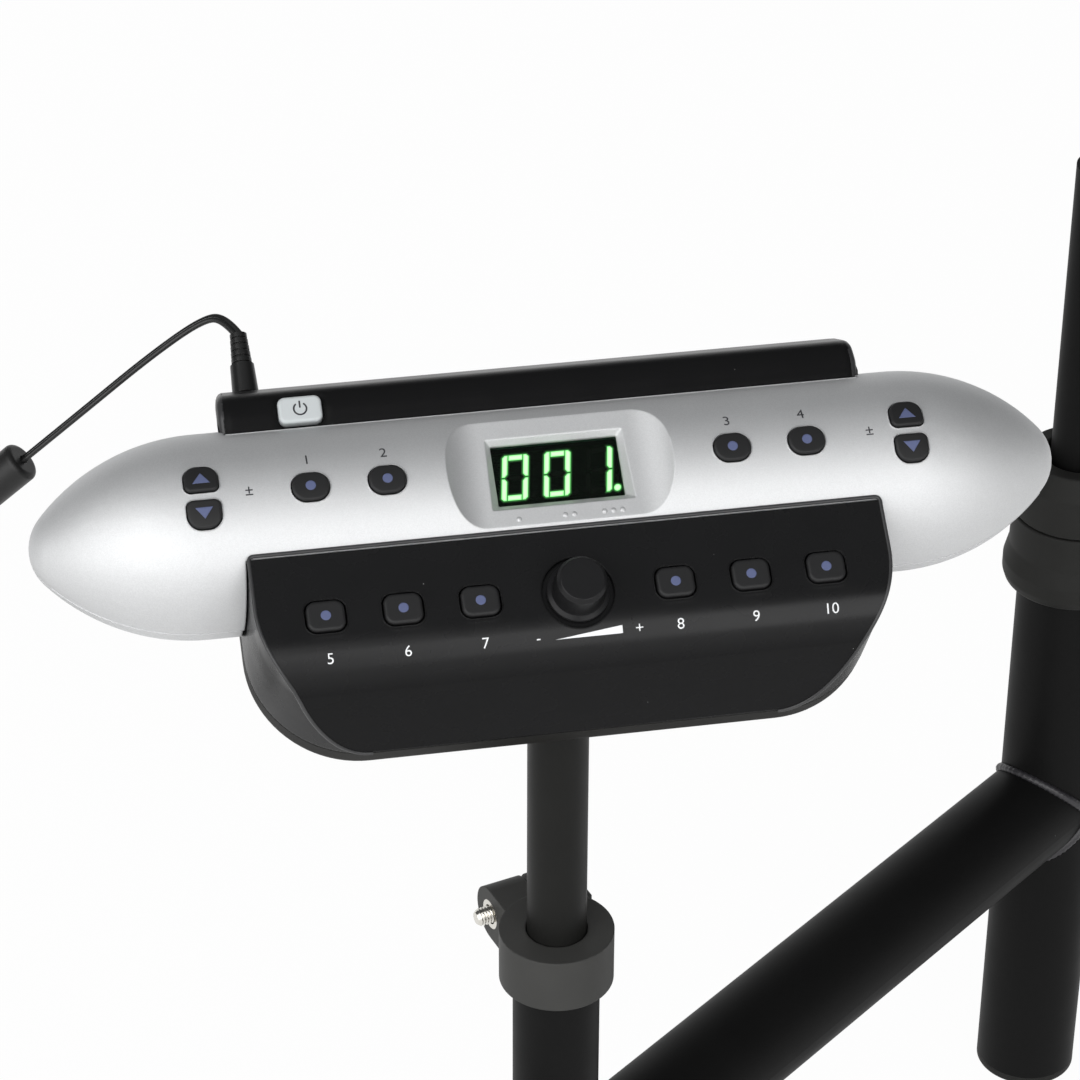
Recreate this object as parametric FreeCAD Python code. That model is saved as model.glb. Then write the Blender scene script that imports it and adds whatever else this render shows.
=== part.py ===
import FreeCAD, Part
import math
import os

os.makedirs("parts", exist_ok=True)
V = FreeCAD.Vector

# Places in the part frame: origin at the foot of the upright, +Z up, lengths in mm.
MODULE_X = -227.5
MODULE_Y = -170.0
MODULE_Z = 393.5
MODULE_TILT = 36.0
POST_BACK = -16.5

# Silver body: a straight barrel with ogive ends, turned about its long axis.
BODY_R = 30.4
BODY_STRAIGHT = 105.0
BODY_SWEEP_R = 63.0
BODY_TIP = 155.4
SHELL_WALL = 2.2
END_START = 95.9
END_WALL = 2.0
PARTING_GAP = 0.3
SEAM = 0.4

# Trough scooped across the silver body, and the display window in its floor.
TROUGH_X = 23.0
TROUGH_Z = 25.2
TROUGH_R = 13.5
TROUGH_T = 4.9
TROUGH_TILT = 2.5
WINDOW_UP = 1.3
BEVEL_X = 22.6
BEVEL_Y = 12.9
BEVEL_TOP = 27.2
BEVEL_Z = 22.7
OPENING_X = 18.95
OPENING_Y = 9.55
OPENING_R = 0.5
SEAT_Z = 21.8
SEAT_FOOT = 19.0
WINDOW_X = 21.6
WINDOW_Y = 12.4
WINDOW_T = 1.5
DISPLAY_X = 18.8
DISPLAY_Y = 9.5

# Keys in the silver body.
KEY_ROW_Y = 0.6
KEY_INNER_X = 51.25
KEY_OUTER_X = 73.7
KEY_HALF_X = 5.4
KEY_HALF_Y = 4.35
KEY_R = 4.1
PAIR_X = 105.0
PAIR_UP_Y = 6.2
PAIR_DOWN_Y = -4.75
PAIR_HALF_X = 4.9
PAIR_HALF_Y = 4.15
PAIR_ROUND_R = 3.9
PAIR_SMALL_R = 1.9
KEY_PROUD = 1.3
KEY_EDGE = 0.7
KEY_RIM_Z = 27.5
KEY_FOOT_Z = 22.8
KEY_FLANGE_T = 1.2
KEY_FLANGE = 0.8
KEY_GAP = 0.3
SLEEVE_WALL = 1.2
SLEEVE_Z = 24.5
DOME_R = 3.2
DOME_TOP_Z = 21.5

# Boards behind the silver keys.
BOARD_T = 1.6
UPPER_BOARD_Z = 15.5
UPPER_BOARD_X = 114.0
UPPER_BOARD_Y = 15.0
UPPER_BOARD_R = 3.0
MAT_T = 1.0
MAT_IN_X = 43.5
MAT_OUT_X = 112.0
MAT_HALF_Y = 11.5
MAT_R = 2.0
BOSS_NEAR_X = 62.5
BOSS_FAR_X = 90.0
BOARD_BOSS_R = 2.8
PILOT_R = 1.15
BOARD_SCREW_R = 1.0
BOARD_SCREW_L = 6.4
BOARD_HEAD_R = 2.2
BOARD_HEAD_T = 1.6

# Front panel: visor with a flat key field, a bend and a steep face.
PANEL_X = 94.0
PANEL_REAR_Y = -18.4
PANEL_FRONT_Y = -67.4
PANEL_CORNER_R = 34.0
PANEL_Z = 25.5
PANEL_BEND_Y = -54.5
PANEL_BEND_R = 16.0
PANEL_FOOT_Z = -13.9
PANEL_FOOT_X = 95.5
PANEL_LIP_Z = 21.0
PANEL_KEY_Y = -37.8
PANEL_KEY_FIRST = 28.76
PANEL_KEY_PITCH = 22.52
PANEL_KEY_X = 5.6
PANEL_KEY_HALF_Y = 4.55
PANEL_KEY_R = 2.8
PANEL_KEY_GAP = 0.5
PANEL_KEY_TOP = 26.7
PANEL_KEY_FOOT = 19.8
PANEL_SLEEVE_Z = 21.6
PANEL_KEY_EDGE = 0.9
FRONT_BOARD_Z = 11.0
FRONT_BOARD_X = 89.5
FRONT_BOARD_REAR = -28.6
FRONT_BOARD_FRONT = -47.0
FRONT_MAT_IN = 20.6
FRONT_MAT_OUT = 82.0
FRONT_MAT_HALF = 6.5
FRONT_DOME_Z = 18.5
FRONT_BOSS_IN = 16.7
FRONT_BOSS_OUT = 86.0

# Volume knob and pot.
RECESS_R = 10.7
RECESS_DEPTH = 1.5
SHAFT_HOLE_R = 3.7
SHAFT_R = 3.0
SHAFT_FOOT = 14.2
SHAFT_TOP = 33.0
KNOB_FOOT = 24.6
KNOB_FLANGE_R = 9.2
KNOB_FLANGE_TOP = 25.8
KNOB_WAIST_R = 7.9
KNOB_WAIST_Z = 26.8
KNOB_TOP_R = 7.4
KNOB_SHOULDER_Z = 35.0
KNOB_CROWN_R = 6.4
KNOB_TOP = 36.3
KNOB_BORE_R = 3.06
POT_HALF_X = 7.0
POT_HALF_Y = 6.6
POT_H = 6.4
POT_NECK_R = 4.6
POT_NECK_TOP = 22.4
POT_BORE_R = 3.35

# Base tub.
TUB_REAR = 46.0
TUB_REAR_X = 91.2
TUB_REAR_R = 4.0
TUB_FOOT = -26.0
TUB_TOP = -14.4
TUB_WALL = 2.4
TUB_EDGE_R = 5.5
MAIN_BOARD_Z = -11.6
MAIN_BOARD_X = 88.8
MAIN_BOARD_FRONT = -34.0
MAIN_BOARD_REAR = 40.5
STANDOFF_R = 3.2
STANDOFF_X = 70.0
STANDOFF_FRONT = -27.0
STANDOFF_REAR = 18.0

# Rear cover and power button.
COVER_X = 95.3
COVER_FOOT_X = 92.2
COVER_FRONT = 24.4
COVER_REAR = 46.0
COVER_FOOT = -13.9
COVER_LINE = [(24.4, 15.9), (31.0, 17.2), (37.6, 15.6), (43.0, 5.6), (45.5, 0.0), (46.0, -8.0)]
COVER_LINE_R = [0.8, 6.0, 7.0, 9.0, 6.0, 4.0]
COVER_OPEN_Y = 29.0
COVER_OPEN_Z = 13.2
POWER_X = -72.5
POWER_Y = 30.3
POWER_HALF_X = 6.5
POWER_HALF_Y = 4.2
POWER_R = 2.2
POWER_TOP = 18.6
POWER_FOOT = 12.2
POWER_FLANGE_T = 1.0
POWER_STEM_R = 2.4
POWER_STEM_Z = 7.2
POWER_GAP = 0.35
SWITCH_HALF_X = 4.5
SWITCH_HALF_Y = 3.6
SWITCH_TOP = 2.4
PLUNGER_R = 1.8
PLUNGER_TOP = 4.9

# Sockets on the rear wall.
JACK_X = [-48.0, -32.0, -16.0, 0.0]
JACK_Z = -4.4
JACK_HALF = 6.4
JACK_TOP = 0.8
JACK_BACK = 42.2
JACK_FRONT = 28.0
JACK_NOSE_R = 4.6
JACK_NOSE_END = 45.3
JACK_BORE_R = 3.25
JACK_BORE_FOOT = 31.0
HARNESS_X = 58.0
HARNESS_HALF_X = 22.0
HARNESS_FRONT = 32.0
HARNESS_NOSE_X = 19.5
HARNESS_NOSE_Z = 4.2
HARNESS_NOSE_END = 45.3
HARNESS_DEEP = 43.6
HARNESS_RIM = 1.2
DC_X = -85.8
DC_Z = -5.2
DC_HALF = 4.3
DC_FRONT = 32.0
DC_BORE_R = 2.9
DC_BORE_FOOT = 34.5
DC_PIN_R = 1.0
DC_PIN_END = 42.0
DC_HOLE_R = 3.6

# Screws of the housing.
HOUSING_SCREW_R = 1.5
HOUSING_SCREW_L = 20.0
HOUSING_HEAD_R = 3.0
HOUSING_HEAD_T = 1.8
HOUSING_PILOT_R = 1.6
HOUSING_BOSS_R = 3.5
TUB_SCREW_X = 60.0
TUB_SCREW_FRONT = -55.5
COVER_SCREW_LEFT = -61.0
COVER_SCREW_RIGHT = 24.0
COVER_SCREW_Y = 38.0
END_SCREW_X = 122.0
END_SCREW_Z = -9.0
END_BOSS_R = 5.2
END_SINK_R = 3.4
PILOT_SPARE = 0.8

# Mount flange, post and clamp.
FLANGE_HALF_X = 28.0
FLANGE_HALF_Y = 18.5
FLANGE_R = 7.0
FLANGE_T = 3.0
FLANGE_Y = -39.3
MOUNT_SCREW_X = 21.0
MOUNT_SCREW_Y = 12.0
MOUNT_SCREW_R = 2.0
MOUNT_SCREW_L = 10.0
MOUNT_HEAD_R = 3.8
MOUNT_HEAD_T = 2.4
MOUNT_BOSS_R = 4.4
MOUNT_BOSS_TOP = -17.0
MOUNT_PILOT_R = 2.1
POST_R = 9.525
POST_WALL = 1.6
POST_FOOT = 188.5
RECEIVER_R = 14.0
RECEIVER_BORE = 9.875
RECEIVER_TOP = 225.2
RING_R = 18.4
RING_BORE = 9.93
RING_FOOT = 225.5
RING_H = 19.0
CLAMP_TURN = 15.8
EAR_LEFT = -11.1
EAR_RIGHT = 17.5
EAR_BACK = 26.0
EAR_R = 9.4
SLIT_X = 3.0
SLIT_HALF = 1.2
BOLT_R = 3.0
BOLT_GAP = 0.35
BOLT_END = 16.1
BOLT_HEAD_R = 5.0
BOLT_HEAD_T = 5.0
BOLT_HEAD_GAP = 0.4
BOLT_KEY_R = 2.6
BOLT_KEY_DEEP = 3.0
NUT_R = 5.0
NUT_T = 4.2

# Rack corner.
CROSS_Z = 130.0
CROSS_R = 19.05
CROSS_WALL = 2.0
CROSS_OVER = 44.8
UPRIGHT_R = 19.05
UPRIGHT_WALL = 2.0
UPRIGHT_FOOT = 3.0
UPRIGHT_TOP = 265.0
PLUG_R = 16.95
SOCKET_BORE = 12.8
SOCKET_H = 43.0
CAP_FACE_T = 3.0
CAP_PLUG_L = 14.0
CAP_PLUG_WALL = 2.5
SLEEVE_BORE = 19.2
COLLAR_BODY = [(24.0, -34.5), (25.2, -31.0), (25.2, -26.0), (23.5, -19.0), (23.2, -5.3)]
COLLAR_BODY_R = [1.5, 3.0, 3.0, 6.0, 0.6]
COLLAR_CAP = [(22.9, -4.8), (22.9, 10.0), (20.6, 16.0), (19.4, 18.5), (13.8, 18.5)]
COLLAR_CAP_R = [0.6, 3.0, 2.5, 1.2, 0.8]
CAP_STEP = 8.0
CAP_DEEP = 27.0
GUIDE_BORE = 11.45
INNER_R = 11.1
INNER_WALL = 1.8
INNER_DEEP = 70.0
INNER_RISE = 135.0
SCREW_ANGLE = 40.0
SCREW_DEEP = 16.0
SCREW_R = 3.0
SCREW_GAP = 0.35
SCREW_TIP = 11.8
SCREW_NECK = 27.2
SCREW_HEAD_END = 37.0
SCREW_HEAD_R = 9.0
SCREW_LOBE_R = 3.4
SCREW_LOBES = 6

# Power lead, given from the module centre with the axes of the part frame.
LEAD_R = 1.2
PLUG_BODY_R = 4.05
PLUG_SHOULDER_R = 3.65
PLUG_REAR = 46.3
PLUG_SHOULDER = 56.0
PLUG_TIP = 66.3
PLUG_NOSE = 36.0
PLUG_NOSE_R = 2.7
PLUG_BORE_R = 1.25
PLUG_BORE_END = 44.5
RIB_FIRST_R = 3.1
RIB_LAST_R = 2.6
RIB_GROOVE = 0.7
RIBS = 5
LEAD_SEAT = 1.0
LEAD_POINTS = [(-89.1, 62.9, 37.5), (-95.2, 67.0, 35.6), (-112.0, 68.2, 23.4), (-134.6, 67.3, 5.7),
               (-177.4, 74.3, -32.9), (-186.4, 73.3, -54.9), (-186.4, 73.3, -74.9)]
FERRITE_R = 6.5
FERRITE_L = 28.0
FERRITE_EDGE = 1.8
FERRITE_BORE = 1.4
COIL_R = 31.5
COIL_STEP = 3.6
COIL_TURNS_IN = 9
COIL_TURNS_OUT = 8
TAIL_END = -101.5
TIE_GAP = 0.1
TIE_T = 1.2
TIE_W = 4.0
ADAPTER_HALF_X = 15.0
ADAPTER_HALF_Y = 22.0
ADAPTER_H = 62.0
ADAPTER_R = 4.0
BOOT_R = 3.4
BOOT_TOP_R = 2.2
BOOT_H = 16.0
BOOT_DEEP = 3.0
PIN_HALF_X = 3.2
PIN_HALF_Z = 0.8
PIN_L = 17.0
PIN_SPACE = 6.35

# Ratios.
bend_share = 0.45
half_share = 0.5
ferrite_share = 0.67


def flat(a, b):
    """Put a pair of lengths in the x-y plane."""
    return V(a, b, 0)


def side(a, b):
    """Put a pair of lengths in the y-z plane."""
    return V(0, a, b)


def turned(a, b):
    """Put a radius and a height in the x-z plane."""
    return V(a, 0, b)


def rounded(points, radii, lift):
    """Closed wire through corner points, each corner with its own radius."""
    corners = [lift(a, b) for a, b in points]
    count = len(corners)
    spans = []
    for i in range(count):
        here = corners[i]
        back = corners[i - 1].sub(here)
        ahead = corners[(i + 1) % count].sub(here)
        back.normalize()
        ahead.normalize()
        if radii[i] > 0:
            half = back.getAngle(ahead) / 2
            reach = radii[i] / math.tan(half)
            middle = back.add(ahead)
            middle.normalize()
            dip = radii[i] / math.sin(half) - radii[i]
            spans.append((here.add(back * reach), here.add(middle * dip), here.add(ahead * reach)))
        else:
            spans.append((here, None, here))
    edges = []
    for i in range(count):
        first, middle, last = spans[i]
        if middle is not None:
            edges.append(Part.Arc(first, middle, last).toShape())
        onward = spans[(i + 1) % count][0]
        if last.distanceToPoint(onward) > SEAM * bend_share * bend_share:
            edges.append(Part.LineSegment(last, onward).toShape())
    return Part.Wire(edges)


def prism(points, radii, low, high):
    """Upright block over a rounded outline."""
    face = Part.Face(rounded(points, radii, flat))
    face.translate(V(0, 0, low))
    return face.extrude(V(0, 0, high - low))


def corners_of(cx, cy, hx, hy):
    """Four corners of a rectangle, counter-clockwise from the lower left."""
    return [(cx - hx, cy - hy), (cx + hx, cy - hy), (cx + hx, cy + hy), (cx - hx, cy + hy)]


def slab(cx, cy, hx, hy, r, low, high):
    """Block with four equal upright corners."""
    return prism(corners_of(cx, cy, hx, hy), [r] * 4, low, high)


def block(x0, x1, y0, y1, z0, z1):
    """Plain box between two corners."""
    return Part.makeBox(x1 - x0, y1 - y0, z1 - z0, V(x0, y0, z0))


def rod(r, x, y, low, high):
    """Upright cylinder."""
    return Part.makeCylinder(r, high - low, V(x, y, low), V(0, 0, 1))


def rod_y(r, x, z, front, rear):
    """Cylinder along y."""
    return Part.makeCylinder(r, rear - front, V(x, front, z), V(0, 1, 0))


def spun(points, radii):
    """Solid turned about the z axis from (radius, height) corners."""
    face = Part.Face(rounded(points, radii, turned))
    return face.revolve(V(0, 0, 0), V(0, 0, 1), 360)


def across(points, radii, half):
    """Solid drawn along x from a (y, z) outline, middle at x = 0."""
    face = Part.Face(rounded(points, radii, side))
    face.translate(V(-half, 0, 0))
    return face.extrude(V(half + half, 0, 0))


def skin_arcs(grow):
    """Centre and radius of the sweep and the nose of one silver end, grown or shrunk."""
    drop = BODY_SWEEP_R - BODY_R
    reach = BODY_TIP - BODY_STRAIGHT
    spare = BODY_SWEEP_R * BODY_SWEEP_R - drop * drop - reach * reach
    nose = spare / (BODY_SWEEP_R - reach) / 2
    return V(BODY_STRAIGHT, -drop, 0), BODY_SWEEP_R + grow, V(BODY_TIP - nose, 0, 0), nose + grow


def airship(grow, turn):
    """Half of the airship form, grown or shrunk, on one side of the parting plane."""
    hub, sweep, nose_hub, nose = skin_arcs(grow)
    lean = math.atan2(nose_hub.y - hub.y, nose_hub.x - hub.x)
    steep = (lean + math.pi / 2) / 2
    tip = nose_hub.add(V(nose, 0, 0))
    brow = nose_hub.add(V(nose * math.cos(lean / 2), nose * math.sin(lean / 2), 0))
    joint = hub.add(V(sweep * math.cos(lean), sweep * math.sin(lean), 0))
    cheek = hub.add(V(sweep * math.cos(steep), sweep * math.sin(steep), 0))
    shoulder = V(BODY_STRAIGHT, BODY_R + grow, 0)
    right = [tip, brow, joint, cheek, shoulder]
    left = [V(-p.x, p.y, 0) for p in right]
    edges = [Part.Arc(right[0], right[1], right[2]).toShape(),
             Part.Arc(right[2], right[3], right[4]).toShape(),
             Part.LineSegment(right[4], left[4]).toShape(),
             Part.Arc(left[4], left[3], left[2]).toShape(),
             Part.Arc(left[2], left[1], left[0]).toShape(),
             Part.LineSegment(left[0], right[0]).toShape()]
    return Part.Face(Part.Wire(edges)).revolve(V(0, 0, 0), V(1, 0, 0), turn)


def trough(grow):
    """Scoop with a flat floor and round ends, sunk further by a wall."""
    r = TROUGH_R + grow
    floor_z = TROUGH_Z - grow
    top = TROUGH_Z + TROUGH_R
    slant = r * math.sqrt(half_share)
    left_end = Part.Arc(V(-TROUGH_X - r, 0, top), V(-TROUGH_X - slant, 0, top - slant),
                        V(-TROUGH_X, 0, floor_z))
    right_end = Part.Arc(V(TROUGH_X, 0, floor_z), V(TROUGH_X + slant, 0, top - slant),
                         V(TROUGH_X + r, 0, top))
    edges = [left_end.toShape(),
             Part.LineSegment(V(-TROUGH_X, 0, floor_z), V(TROUGH_X, 0, floor_z)).toShape(),
             right_end.toShape(),
             Part.LineSegment(V(TROUGH_X + r, 0, top), V(-TROUGH_X - r, 0, top)).toShape()]
    face = Part.Face(Part.Wire(edges))
    face.translate(V(0, -BODY_R, 0))
    tool = face.extrude(V(0, BODY_R + BODY_R, 0))
    tool.rotate(V(0, 0, TROUGH_Z), V(1, 0, 0), -TROUGH_TILT)
    return tool


def seated(shape):
    """Move a piece from the module frame to its place on the post."""
    moved = shape.copy()
    spin = FreeCAD.Rotation(V(1, 0, 0), MODULE_TILT)
    moved.Placement = FreeCAD.Placement(V(MODULE_X, MODULE_Y, MODULE_Z), spin).multiply(moved.Placement)
    return moved


def keep(name, shape):
    """Write one piece."""
    if shape.ShapeType == "Compound" and len(shape.Solids) == 1:
        shape = shape.Solids[0]
    shape.exportStep("parts/" + name + ".step")
    print(name, shape.isValid(), len(shape.Solids), round(shape.Volume, 1), len(shape.Faces))


def keep_seated(name, shape):
    """Write one piece of the module."""
    keep(name, seated(shape.removeSplitter()))


def key_form(kind, grow):
    """Outline corners and radii of one silver key, grown by a clearance."""
    x, y, hx, hy, low_r, high_r = kind
    points = corners_of(x, y, hx + grow, hy + grow)
    return points, [low_r + grow, low_r + grow, high_r + grow, high_r + grow]


def mirrored_pair(x, y, hx, hy, low_r, high_r):
    """The same key at the left and the right."""
    return [(-x, y, hx, hy, low_r, high_r), (x, y, hx, hy, low_r, high_r)]


inner_pair = mirrored_pair(KEY_INNER_X, KEY_ROW_Y, KEY_HALF_X, KEY_HALF_Y, KEY_R, KEY_R)
outer_pair = mirrored_pair(KEY_OUTER_X, KEY_ROW_Y, KEY_HALF_X, KEY_HALF_Y, KEY_R, KEY_R)
up_pair = mirrored_pair(PAIR_X, PAIR_UP_Y, PAIR_HALF_X, PAIR_HALF_Y, PAIR_SMALL_R, PAIR_ROUND_R)
down_pair = mirrored_pair(PAIR_X, PAIR_DOWN_Y, PAIR_HALF_X, PAIR_HALF_Y, PAIR_ROUND_R, PAIR_SMALL_R)
silver_keys = {
    "upper_key_1": outer_pair[0],
    "upper_key_2": inner_pair[0],
    "upper_key_3": inner_pair[1],
    "upper_key_4": outer_pair[1],
    "tempo_up_key": up_pair[0],
    "tempo_down_key": down_pair[0],
    "data_up_key": up_pair[1],
    "data_down_key": down_pair[1],
}
panel_key_x = [-PANEL_KEY_FIRST - PANEL_KEY_PITCH * k for k in (2, 1, 0)]
panel_key_x += [PANEL_KEY_FIRST + PANEL_KEY_PITCH * k for k in (0, 1, 2)]

upper_board_top = UPPER_BOARD_Z + BOARD_T
front_board_top = FRONT_BOARD_Z + BOARD_T
main_board_top = MAIN_BOARD_Z + BOARD_T
display_top = SEAT_Z - WINDOW_T
upper_bosses = [(-BOSS_FAR_X, KEY_ROW_Y), (-BOSS_NEAR_X, KEY_ROW_Y),
                (BOSS_NEAR_X, KEY_ROW_Y), (BOSS_FAR_X, KEY_ROW_Y)]
front_bosses = [(-FRONT_BOSS_OUT, PANEL_KEY_Y), (-FRONT_BOSS_IN, PANEL_KEY_Y),
                (FRONT_BOSS_IN, PANEL_KEY_Y), (FRONT_BOSS_OUT, PANEL_KEY_Y)]
standoffs = [(-STANDOFF_X, STANDOFF_FRONT), (STANDOFF_X, STANDOFF_FRONT),
             (-STANDOFF_X, STANDOFF_REAR), (STANDOFF_X, STANDOFF_REAR)]
tub_screws_front = [(-TUB_SCREW_X, TUB_SCREW_FRONT), (TUB_SCREW_X, TUB_SCREW_FRONT)]
tub_screws_rear = [(COVER_SCREW_LEFT, COVER_SCREW_Y), (COVER_SCREW_RIGHT, COVER_SCREW_Y)]
mount_spots = [(sx * MOUNT_SCREW_X, FLANGE_Y + sy * MOUNT_SCREW_Y) for sx in (-1, 1) for sy in (-1, 1)]

# Upper shell: silver half with the display trough, key sleeves and bosses.
outer_half = airship(0, 180)
inner_half = airship(-SHELL_WALL, 180)
shell = outer_half.cut(inner_half)
adds = [trough(TROUGH_T).common(outer_half)]
for kind in silver_keys.values():
    points, radii = key_form(kind, KEY_GAP + SLEEVE_WALL)
    adds.append(prism(points, radii, SLEEVE_Z, BODY_R).common(outer_half))
for x, y in upper_bosses:
    adds.append(rod(BOARD_BOSS_R, x, y, upper_board_top, BODY_R).common(outer_half))
for x in (-END_SCREW_X, END_SCREW_X):
    adds.append(rod(HOUSING_BOSS_R, x, 0, 0, BODY_R).common(outer_half))
shell = shell.fuse(adds)
bevel_low = rounded(corners_of(0, WINDOW_UP, OPENING_X, OPENING_Y), [OPENING_R] * 4, flat)
bevel_low.translate(V(0, 0, BEVEL_Z))
bevel_high = rounded(corners_of(0, WINDOW_UP, BEVEL_X, BEVEL_Y), [OPENING_R] * 4, flat)
bevel_high.translate(V(0, 0, BEVEL_TOP))
cuts = [trough(0),
        Part.makeLoft([bevel_low, bevel_high], True, True),
        slab(0, WINDOW_UP, WINDOW_X + KEY_GAP, WINDOW_Y + KEY_GAP, WINDOW_T, SEAT_FOOT, SEAT_Z),
        slab(0, WINDOW_UP, OPENING_X, OPENING_Y, OPENING_R, SEAT_Z - SEAM, BEVEL_Z + SEAM)]
for kind in silver_keys.values():
    points, radii = key_form(kind, KEY_GAP)
    cuts.append(prism(points, radii, KEY_FOOT_Z, BODY_R + SHELL_WALL))
for x, y in upper_bosses:
    cuts.append(rod(PILOT_R, x, y, upper_board_top, UPPER_BOARD_Z + BOARD_SCREW_L + PILOT_SPARE))
for x in (-END_SCREW_X, END_SCREW_X):
    cuts.append(rod(HOUSING_PILOT_R, x, 0, 0, END_SCREW_Z + HOUSING_SCREW_L + PILOT_SPARE))
panel_flare = (PANEL_FOOT_X - PANEL_X) / (PANEL_Z - PANEL_FOOT_Z)
notch_low = PANEL_X + SEAM + (PANEL_Z + SEAM) * panel_flare
notch_high = PANEL_X + SEAM + (PANEL_Z - BODY_R) * panel_flare
notch_line = [(-notch_low, -SEAM), (notch_low, -SEAM), (notch_high, BODY_R), (-notch_high, BODY_R)]
notch = Part.Face(rounded(notch_line, [0] * 4, turned))
notch.translate(V(0, PANEL_FRONT_Y, 0))
cuts.append(notch.extrude(V(0, PANEL_REAR_Y + SEAM - PANEL_FRONT_Y, 0)))
cover_notch_x = COVER_X + SEAM
cuts.append(block(-cover_notch_x, cover_notch_x, COVER_FRONT - SEAM, TUB_REAR, -SEAM, BODY_R))
shell = shell.cut(cuts)
keep_seated("upper_shell", shell)

# End shells: silver lower halves of the two ends with a flat closing wall.
lower_half = airship(0, -180)
lower_inner = airship(-SHELL_WALL, -180)
for name, sign in (("left_end_shell", -1), ("right_end_shell", 1)):
    span = sorted((sign * END_START, sign * BODY_TIP))
    inside = sorted((sign * (END_START + END_WALL), sign * BODY_TIP))
    room = block(span[0], span[1], -BODY_R, BODY_R, -BODY_R, -PARTING_GAP)
    hollow = block(inside[0], inside[1], -BODY_R, BODY_R, -BODY_R, 0)
    end = lower_half.common(room).cut(lower_inner.common(hollow))
    end = end.fuse(rod(END_BOSS_R, sign * END_SCREW_X, 0, -BODY_R, 0).common(lower_half))
    sink = rod(END_SINK_R, sign * END_SCREW_X, 0, -BODY_R, END_SCREW_Z)
    hole = rod(HOUSING_PILOT_R, sign * END_SCREW_X, 0, -BODY_R, 0)
    keep_seated(name, end.cut([sink, hole]))

# Front panel: visor shell with side bands, key sleeves, knob recess and bosses.
panel_line = [(PANEL_REAR_Y, PANEL_FOOT_Z), (PANEL_REAR_Y, PANEL_Z), (PANEL_BEND_Y, PANEL_Z),
              (PANEL_FRONT_Y, PANEL_FOOT_Z)]
panel_rims = []
for half, z in ((PANEL_FOOT_X, PANEL_FOOT_Z), (PANEL_X, PANEL_Z)):
    plan = [(-half, PANEL_REAR_Y), (-half, PANEL_FRONT_Y), (half, PANEL_FRONT_Y), (half, PANEL_REAR_Y)]
    rim = rounded(plan, [0, PANEL_CORNER_R, PANEL_CORNER_R, 0], flat)
    rim.translate(V(0, 0, z))
    panel_rims.append(rim)
panel_outer = across(panel_line, [0, 0, PANEL_BEND_R, 0], PANEL_FOOT_X)
panel_outer = panel_outer.common(Part.makeLoft(panel_rims, True, True)).removeSplitter()
front_lean = (PANEL_BEND_Y - PANEL_FRONT_Y) / (PANEL_Z - PANEL_FOOT_Z)
wall_step = SHELL_WALL * math.sqrt(front_lean * front_lean + 1)
drop = SHELL_WALL + SHELL_WALL
inside_bend_y = PANEL_BEND_Y + wall_step - SHELL_WALL * front_lean
inside_foot_y = PANEL_FRONT_Y + wall_step - drop * front_lean
inside_rear = PANEL_REAR_Y - SHELL_WALL
inside_top = PANEL_Z - SHELL_WALL
inside_line = [(inside_rear, PANEL_FOOT_Z - drop), (inside_rear, inside_top), (inside_bend_y, inside_top),
               (inside_foot_y, PANEL_FOOT_Z - drop)]
inside_x = PANEL_X - SHELL_WALL
inside_front = PANEL_FRONT_Y + SHELL_WALL
inside_plan = [(-inside_x, PANEL_REAR_Y), (-inside_x, inside_front), (inside_x, inside_front),
               (inside_x, PANEL_REAR_Y)]
inside_r = PANEL_CORNER_R - SHELL_WALL
inside_room = prism(inside_plan, [0, inside_r, inside_r, 0], PANEL_FOOT_Z - drop, PANEL_Z)
panel_inner = across(inside_line, [0, 0, PANEL_BEND_R - SHELL_WALL, 0], PANEL_X).common(inside_room)
panel = panel_outer.cut([panel_inner, block(-inside_x, inside_x, PANEL_REAR_Y - drop, PANEL_REAR_Y + SEAM,
                                            PANEL_FOOT_Z - SEAM, PANEL_LIP_Z)])
adds = []
sleeve = PANEL_KEY_GAP + SLEEVE_WALL
for x in panel_key_x:
    adds.append(slab(x, PANEL_KEY_Y, PANEL_KEY_X + sleeve, PANEL_KEY_HALF_Y + sleeve, PANEL_KEY_R + sleeve,
                     PANEL_SLEEVE_Z, PANEL_Z))
for x, y in front_bosses:
    adds.append(rod(BOARD_BOSS_R, x, y, front_board_top, PANEL_Z))
for x, y in tub_screws_front:
    outside = block(-PANEL_X, PANEL_X, PANEL_FRONT_Y, 0, PANEL_FOOT_Z, PANEL_Z).cut(panel_outer)
    adds.append(rod(HOUSING_BOSS_R, x, y, TUB_TOP, PANEL_Z).cut(outside))
panel = panel.fuse(adds)
cuts = [rod(RECESS_R, 0, PANEL_KEY_Y, PANEL_Z - RECESS_DEPTH, PANEL_Z + SEAM),
        rod(SHAFT_HOLE_R, 0, PANEL_KEY_Y, PANEL_SLEEVE_Z, PANEL_Z + SEAM)]
for x in panel_key_x:
    cuts.append(slab(x, PANEL_KEY_Y, PANEL_KEY_X + PANEL_KEY_GAP, PANEL_KEY_HALF_Y + PANEL_KEY_GAP,
                     PANEL_KEY_R + PANEL_KEY_GAP, PANEL_SLEEVE_Z - SEAM, PANEL_Z + SEAM))
for x, y in front_bosses:
    cuts.append(rod(PILOT_R, x, y, front_board_top, FRONT_BOARD_Z + BOARD_SCREW_L + PILOT_SPARE))
for x, y in tub_screws_front:
    cuts.append(rod(HOUSING_PILOT_R, x, y, TUB_TOP, TUB_FOOT + HOUSING_SCREW_L + PILOT_SPARE))
panel = panel.cut(cuts)
keep_seated("front_panel", panel)

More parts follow.
